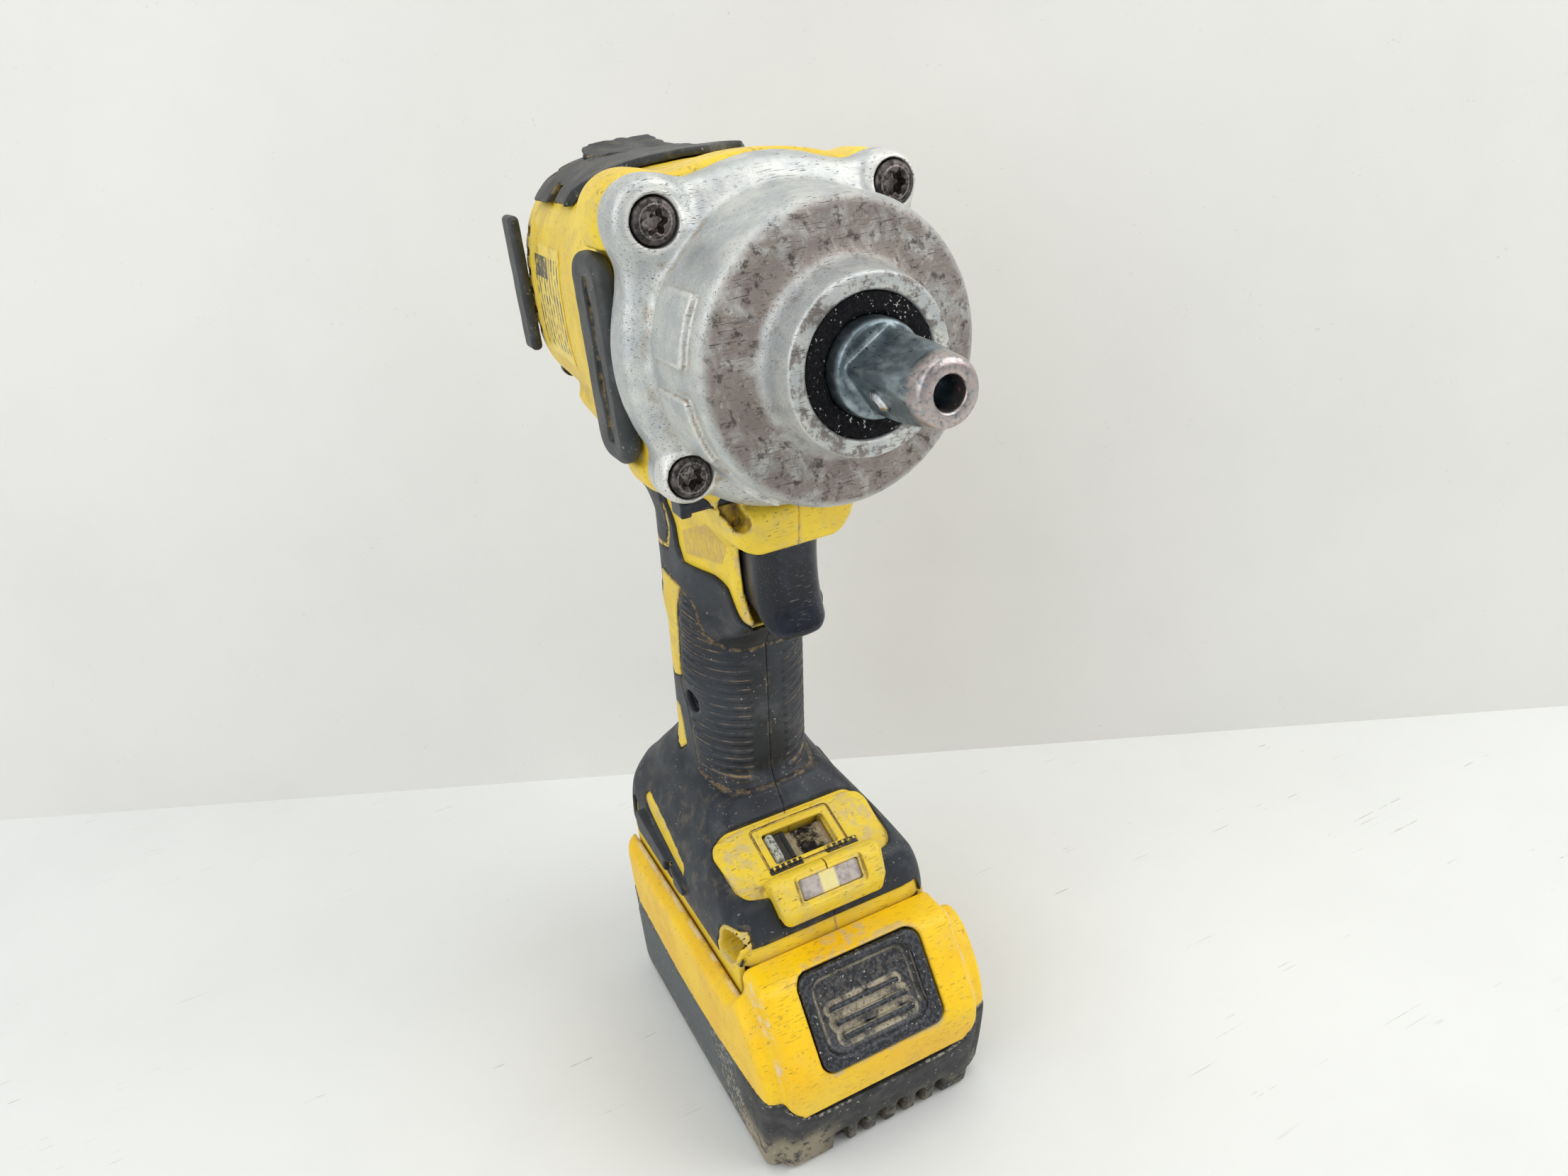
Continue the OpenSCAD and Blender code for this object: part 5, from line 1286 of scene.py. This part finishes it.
def printed_label(name):
    """Yellow film with generic dark rows and blocks, no lettering."""
    m = Paint(name)
    x, z = m.axis(0), m.axis(2)
    across = m.math("SUBTRACT", x, LABEL_X)
    up = m.math("SUBTRACT", z, AXIS_Z + LABEL_UP)
    column = m.math("FRACT", m.math("MULTIPLY", m.math("ADD", across, 60.0), 1 / 3.1))
    bars = m.both(m.ramp(column, 0.22, 0.28), m.ramp(m.math("MULTIPLY", column, -1), -0.72, -0.66))
    broken = m.ramp(m.spots(1.5, 0, 0.5, (0.6, 1, 1.6), shift=2), 0.42, 0.46)
    inside = m.both(m.ramp(m.math("MULTIPLY", m.math("ABSOLUTE", up), -1), -12.4, -12.0),
                    m.ramp(m.math("MULTIPLY", m.math("ABSOLUTE", across), -1), -13.6, -13.2))
    rows = m.both(m.both(bars, broken), inside)
    block_rows = m.both(m.ramp(up, 6.4, 6.6), m.both(m.ramp(across, -13, -12.8), m.ramp(m.math("MULTIPLY", across, -1), -2, -1.8)))
    rows = m.either(rows, m.both(block_rows, inside))
    base = m.blend(m.ramp(m.spots(6, 4), 0.4, 0.7), rgb(236, 208, 70), rgb(222, 190, 60))
    base = m.blend(m.both(rows, m.ramp(m.spots(2.5, 5, 0.7, shift=5), 0.34, 0.5)), base, rgb(46, 42, 34))
    dirt = m.both(m.ramp(m.spots(4, 5, 0.7, shift=7), 0.52, 0.7), 0.5)
    base = m.blend(dirt, base, rgb(150, 122, 64))
    m.relief(m.spots(5, 3, shift=8), 0.05)
    return m.done(base, m.math("ADD", m.both(m.spots(3, 3), 0.2), 0.25), level=0.5)


def clouded_lens(name):
    """Scratched clear plastic over the lamp."""
    m = Paint(name)
    base = m.blend(m.ramp(m.spots(2.4, 5, 0.7), 0.4, 0.7), rgb(188, 178, 172), rgb(146, 134, 130))
    glow = m.between(m.axis(1), -3.4, 2.4, 0.8)
    base = m.blend(m.both(glow, 0.85), base, rgb(240, 226, 150))
    frame_shadow = m.ramp(m.math("ABSOLUTE", m.axis(1)), 8.2, 9.4)
    base = m.blend(m.both(frame_shadow, 0.5), base, rgb(96, 86, 78))
    m.relief(m.spots(1.2, 3, shift=2), 0.04)
    return m.done(base, m.math("ADD", m.both(m.spots(1.5, 3, shift=5), 0.3), 0.15))


def lamp_chip(name):
    m = Paint(name)
    base = m.blend(m.ramp(m.spots(1.0, 3), 0.4, 0.6), rgb(238, 222, 128), rgb(220, 196, 96))
    m.relief(m.spots(0.5, 2), 0.03)
    return m.done(base, m.math("ADD", m.both(m.spots(1, 2, shift=3), 0.2), 0.3))


def printed_badge(name):
    """Black print with generic dots on the edge of the mode panel."""
    m = Paint(name)
    y = m.axis(1)
    column = m.math("FRACT", m.math("DIVIDE", m.math("ADD", y, 60.2), 1.9))
    along = m.math("SUBTRACT", m.axis(0), BADGE_X)
    dots = m.both(m.between(column, 0.3, 0.75, 0.08), m.between(along, -0.5, 0.5, 0.2))
    base = m.blend(m.both(dots, m.ramp(m.spots(1.2, 3), 0.3, 0.45)), rgb(40, 36, 30), rgb(226, 196, 70))
    base = m.blend(m.ramp(m.spots(1.6, 4, 0.7, shift=4), 0.56, 0.68), base, rgb(176, 150, 70))
    m.relief(m.spots(1, 3, shift=2), 0.02)
    return m.done(base, 0.45)


BADGE_X = PANEL_AT[0] + BADGE_U * math.cos(math.radians(PANEL_LEAN))


def sill_dirt(name):
    """Black plastic under a layer of dust."""
    m = Paint(name)
    rim = m.either(m.ramp(m.math("ABSOLUTE", m.math("SUBTRACT", m.axis(1), 3.5)), 2.0, 6.0), 0.0)
    thick = m.ramp(m.math("ADD", m.spots(3.2, 5, 0.7), m.both(rim, 0.3)), 0.48, 0.72)
    base = m.blend(thick, rgb(26, 24, 22), rgb(168, 152, 122))
    base = m.blend(m.both(m.ramp(m.spots(0.8, 3, shift=3), 0.56, 0.66), rim), base, rgb(196, 184, 158))
    m.relief(m.spots(0.8, 4, 0.7, shift=2), 0.12)
    return m.done(base, 0.85, level=0.2)


def machined(name, dark, light, rough, metal=0.9, grain=0.8):
    """Turned, ground or stamped metal with oil stains."""
    m = Paint(name)
    base = m.blend(m.ramp(m.spots(grain * 2, 4, 0.6, (1, 3, 3)), 0.38, 0.66), dark, light)
    stain = m.both(m.ramp(m.spots(5, 4, 0.65, shift=3), 0.52, 0.7), 0.6)
    base = m.blend(stain, base, rgb(70, 56, 36))
    m.relief(m.spots(grain * 0.5, 3, 0.6, (1, 4, 4), shift=4), 0.02)
    return m.done(base, m.math("ADD", m.both(m.spots(grain, 3, shift=5), 0.2), rough), metal)


def moulded(name, dark, light, rough):
    """Inside plastics, wires, wraps and boards."""
    m = Paint(name)
    base = m.blend(m.ramp(m.spots(5, 4, 0.6), 0.38, 0.66), dark, light)
    dust = m.both(m.ramp(m.spots(2, 5, 0.7, shift=3), 0.54, 0.72), 0.5)
    base = m.blend(dust, base, rgb(120, 112, 96))
    m.relief(m.spots(0.6, 3, 0.6, shift=4), 0.03)
    return m.done(base, m.math("ADD", m.both(m.spots(1.5, 3, shift=5), 0.2), rough))


PAINT = {
    "housing_yellow": yellow_plastic("housing_yellow", rgb(240, 208, 58), rgb(226, 190, 48), rgb(208, 184, 108), 0.7, hatched_patch,
                                     rgb(196, 164, 92)),
    "pack_yellow": yellow_plastic("pack_yellow", rgb(250, 206, 18), rgb(242, 190, 12), rgb(222, 184, 92), 0.5, worn_ledge,
                                  rgb(222, 208, 180)),
    "soft_rubber": dusty_rubber("soft_rubber", rgb(30, 34, 42), rgb(44, 50, 58), 0.3),
    "torn_rubber": dusty_rubber("torn_rubber", rgb(32, 35, 38), rgb(52, 54, 54), 0.5),
    "bumper_rubber": dusty_rubber("bumper_rubber", rgb(44, 46, 48), rgb(70, 72, 70), 0.5),
    "hard_black": gloss_black("hard_black", rgb(16, 19, 28), 0.13),
    "slider": slider_black("slider"),
    "latch": latch_black("latch"),
    "base_shell": base_black("base_shell"),
    "cast_aluminium": cast_metal("cast_aluminium"),
    "drive_steel": drive_metal("drive_steel"),
    "screw_steel": rusty_screw("screw_steel"),
    "felt": oily_felt("felt"),
    "label": printed_label("label"),
    "lens": clouded_lens("lens"),
    "chip": lamp_chip("lamp_chip"),
    "sill": sill_dirt("sill_dirt"),
    "badge": printed_badge("badge"),
    "gear_steel": machined("gear_steel", rgb(120, 124, 128), rgb(176, 180, 184), 0.24),
    "bearing_steel": machined("bearing_steel", rgb(186, 190, 194), rgb(224, 226, 228), 0.10),
    "spring_steel": machined("spring_steel", rgb(58, 60, 66), rgb(98, 100, 106), 0.26),
    "bronze": machined("bronze", rgb(150, 120, 66), rgb(186, 156, 96), 0.34),
    "brass": machined("brass", rgb(180, 150, 72), rgb(218, 192, 118), 0.22),
    "lamination": machined("lamination", rgb(84, 88, 92), rgb(128, 132, 136), 0.38, 0.8, 0.3),
    "copper_wire": machined("copper_wire", rgb(150, 76, 38), rgb(196, 112, 62), 0.28, 0.9, 0.4),
    "magnet": machined("magnet", rgb(150, 152, 156), rgb(190, 192, 196), 0.2),
    "circuit_board": moulded("circuit_board", rgb(18, 74, 44), rgb(30, 98, 58), 0.3),
    "wire_red": moulded("wire_red", rgb(150, 26, 22), rgb(184, 44, 36), 0.4),
    "cell_wrap": moulded("cell_wrap", rgb(70, 132, 106), rgb(96, 160, 130), 0.3),
    "potting": moulded("potting", rgb(34, 58, 84), rgb(52, 80, 108), 0.35),
    "black_plastic": moulded("black_plastic", rgb(34, 35, 38), rgb(56, 58, 62), 0.45),
}


# ---- building the pieces ----

FINE = 1.0


def build(name, field, nodes, step, paint, body, grow=1.0, reach=2.5, inlay=None):
    """Meshes a field round its CAD nodes and puts the piece on its body."""
    boxes = [box_mm(n) for n in nodes]
    low = np.min([b[0] for b in boxes], axis=0) - grow
    high = np.max([b[1] for b in boxes], axis=0) + grow
    piece = field_mesh(name, field, low, high, step * FINE, reach, inlay)
    piece.data.materials.append(PAINT[paint])
    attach(piece, body)
    return piece


HULLS = [
    ("housing_right", half(housing, -1), 0.75, "housing_yellow", "tool_body", "housing_yellow", 3.0),
    ("housing_left", half(housing, 1), 0.75, "housing_yellow", "tool_body", "housing_yellow", 3.0),
    ("grip_rubber_right", half(grip_skin, -1), 0.5, "soft_rubber", "tool_body", "soft_rubber", 3.0),
    ("grip_rubber_left", half(grip_skin, 1), 0.5, "soft_rubber", "tool_body", "soft_rubber", 3.0),
    ("barrel_rubber", barrel_rubber, 0.5, "torn_rubber", "tool_body", "soft_rubber", 3.0),
    ("front_bumpers", front_bumpers, 0.4, "bumper_rubber", "tool_body", "soft_rubber", 1.5),
    ("rear_bumpers", rear_bumpers, 0.5, "bumper_rubber", "tool_body", "soft_rubber", 1.5),
    ("rear_cap", rear_cap, 0.6, "housing_yellow", "tool_body", "housing_yellow", 3.0),
    ("nose_case", nose_case, 0.5, "cast_aluminium", "tool_body", "cast_aluminium", 4.0),
    ("nose_screws", nose_screws, 0.3, "screw_steel", "tool_body", "screw_steel", 1.2),
    ("felt_washer", felt_washer, 0.35, "felt", "tool_body", "felt", 1.5),
    ("anvil", anvil, 0.35, "drive_steel", "anvil", "drive_steel", 1.5),
    ("mode_panel", mode_panel, 0.3, "housing_yellow", "tool_body", "housing_yellow", 1.5),
    ("mode_slider", mode_slider, 0.22, "slider", "mode_slider", "hard_black", 1.0),
    ("led_lens", led_lens, 0.25, "lens", "tool_body", "lens", 1.0),
    ("trigger", trigger, 0.4, "hard_black", "trigger", "hard_black", 2.5),
    ("direction_lever", direction_lever, 0.4, "hard_black", "direction_lever", "hard_black", 1.2),
    ("rating_label", rating_label, 0.25, "label", "tool_body", "label", 1.0),
    ("battery_top_shell", battery_top_shell, 0.7, "pack_yellow", "battery_pack", "pack_yellow", 3.0),
    ("battery_base_shell", battery_base_shell, 0.6, "base_shell", "battery_pack", "black_plastic", 2.5),
    ("latch_button", latch_button, 0.35, "latch", "latch_button", "hard_black", 2.2),
]

for name, field, step, paint, body, slot, reach in HULLS:
    ribbed = name.startswith("grip_rubber")
    nodes = [name, "direction_lever"] if ribbed else [name]
    made = build(name + "_skin", field, nodes, step, paint, body, 3.0, reach, lined if ribbed else None)
    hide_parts(name)

build("slider_sill", slider_floor, ["mode_slider"], 0.3, "sill", "tool_body", 14.0)
build("led_chip", led_chip, ["led_lens"], 0.3, "chip", "tool_body")
build("panel_badges", panel_badges, ["mode_panel"], 0.2, "badge", "tool_body")
build("torn_flap", torn_flap, ["barrel_rubber"], 0.4, "torn_rubber", "tool_body", 4.0)

replaced = {name for name, *_ in HULLS}
slots = {part["node"]: part["material_slot"] for part in frame["record"]["subparts"]}
for name, obj in frame["nodes"].items():
    if name in replaced:
        continue
    for i in range(len(obj.material_slots)):
        obj.material_slots[i].material = PAINT[slots[name]]
    bevel = obj.modifiers.new("soft_edges", "BEVEL")
    bevel.width = 0.15 * MM
    bevel.segments = 2
    bevel.limit_method = "ANGLE"
    bevel.angle_limit = math.radians(40)
    bevel.harden_normals = True


# ---- stage, light and camera ----

def sheet(name, corners, paint):
    """A flat backdrop with a slight unevenness in its material."""
    mesh = bpy.data.meshes.new(name)
    mesh.from_pydata(corners, [], [(0, 1, 2, 3)])
    obj = link(bpy.data.objects.new(name, mesh))
    obj.data.materials.append(paint)
    return obj


def pale(name, tint, marks):
    m = Paint(name)
    base = m.blend(m.ramp(m.spots(90, 4, 0.6), 0.35, 0.7), tint, tuple(c * 0.97 for c in tint[:3]) + (1.0,))
    lines = m.both(m.scratches(0.8, 120, (0, 0, 0.4), 0.2, 3), marks)
    base = m.blend(lines, base, rgb(150, 146, 138))
    m.relief(m.spots(30, 4, 0.6, shift=4), 0.3)
    # a sheet is clear from behind, so the wall doesn't hide the tool's back
    behind = m.node("ShaderNodeNewGeometry").outputs["Backfacing"]
    m.feed(m.bsdf.inputs["Alpha"], m.math("SUBTRACT", 1.0, behind))
    return m.done(base, m.math("ADD", m.both(m.spots(8, 3, shift=5), 0.2), 0.4), level=0.3)


WALL_ALONG = Vector((0.468, 0.884, 0))
WALL_FOOT = Vector((-0.170, -0.036, 0))
WALL_OUT = Vector((0.884, -0.468, 0))
SPREAD = 2.0

floor_paint = pale("floor_paint", rgb(232, 233, 230), 0.5)
wall_paint = pale("wall_paint", rgb(232, 231, 227), 0.25)
left, right = WALL_FOOT - WALL_ALONG * SPREAD, WALL_FOOT + WALL_ALONG * SPREAD
behind_wall = -WALL_OUT * SPREAD
sheet("floor", [left - behind_wall, right - behind_wall, right + behind_wall, left + behind_wall], floor_paint)
sheet("wall", [left, right, right + Vector((0, 0, SPREAD)), left + Vector((0, 0, SPREAD))], wall_paint)


def lamp(name, place, target, size, power, colour=(1, 1, 1)):
    data = bpy.data.lights.new(name, "AREA")
    data.shape = "DISK"
    data.size = size
    data.energy = power
    data.color = colour
    obj = link(bpy.data.objects.new(name, data))
    obj.location = place
    obj.rotation_euler = (Vector(target) - Vector(place)).to_track_quat("-Z", "Y").to_euler()
    return obj


MIDDLE = (0.02, 0, 0.15)
lamp("key", (0.75, 0.75, 0.95), MIDDLE, 1.1, 8.5, (1.0, 0.99, 0.97))
lamp("fill", (0.35, -0.95, 0.7), MIDDLE, 1.2, 6, (0.96, 0.98, 1.0))
lamp("top", (0.1, 0.0, 1.3), MIDDLE, 1.0, 3.5)
world = bpy.data.worlds.new("soft_room")
world.use_nodes = True
world.node_tree.nodes["Background"].inputs["Color"].default_value = (0.93, 0.96, 1.0, 1.0)
world.node_tree.nodes["Background"].inputs["Strength"].default_value = 0.47
bpy.context.scene.world = world
bpy.context.scene.view_settings.view_transform = "Standard"

EYE = Vector((0.28757, -0.10782, 0.2945))
AIM = Vector((0.02066, 0.01105, 0.15817))
ROLL = -0.1113
camera = bpy.data.cameras.new("camera")
camera.sensor_width = 36
camera.lens = 25.79
camera.clip_start = 0.01
view = link(bpy.data.objects.new("camera", camera))
bpy.context.scene.camera = view
away = (EYE - AIM).normalized()
side = Vector((0, 0, 1)).cross(away).normalized()
over = away.cross(side)
across = side * math.cos(ROLL) + over * math.sin(ROLL)
upward = over * math.cos(ROLL) - side * math.sin(ROLL)
view.matrix_world = Matrix.Translation(EYE) @ Matrix((across, upward, away)).transposed().to_4x4()
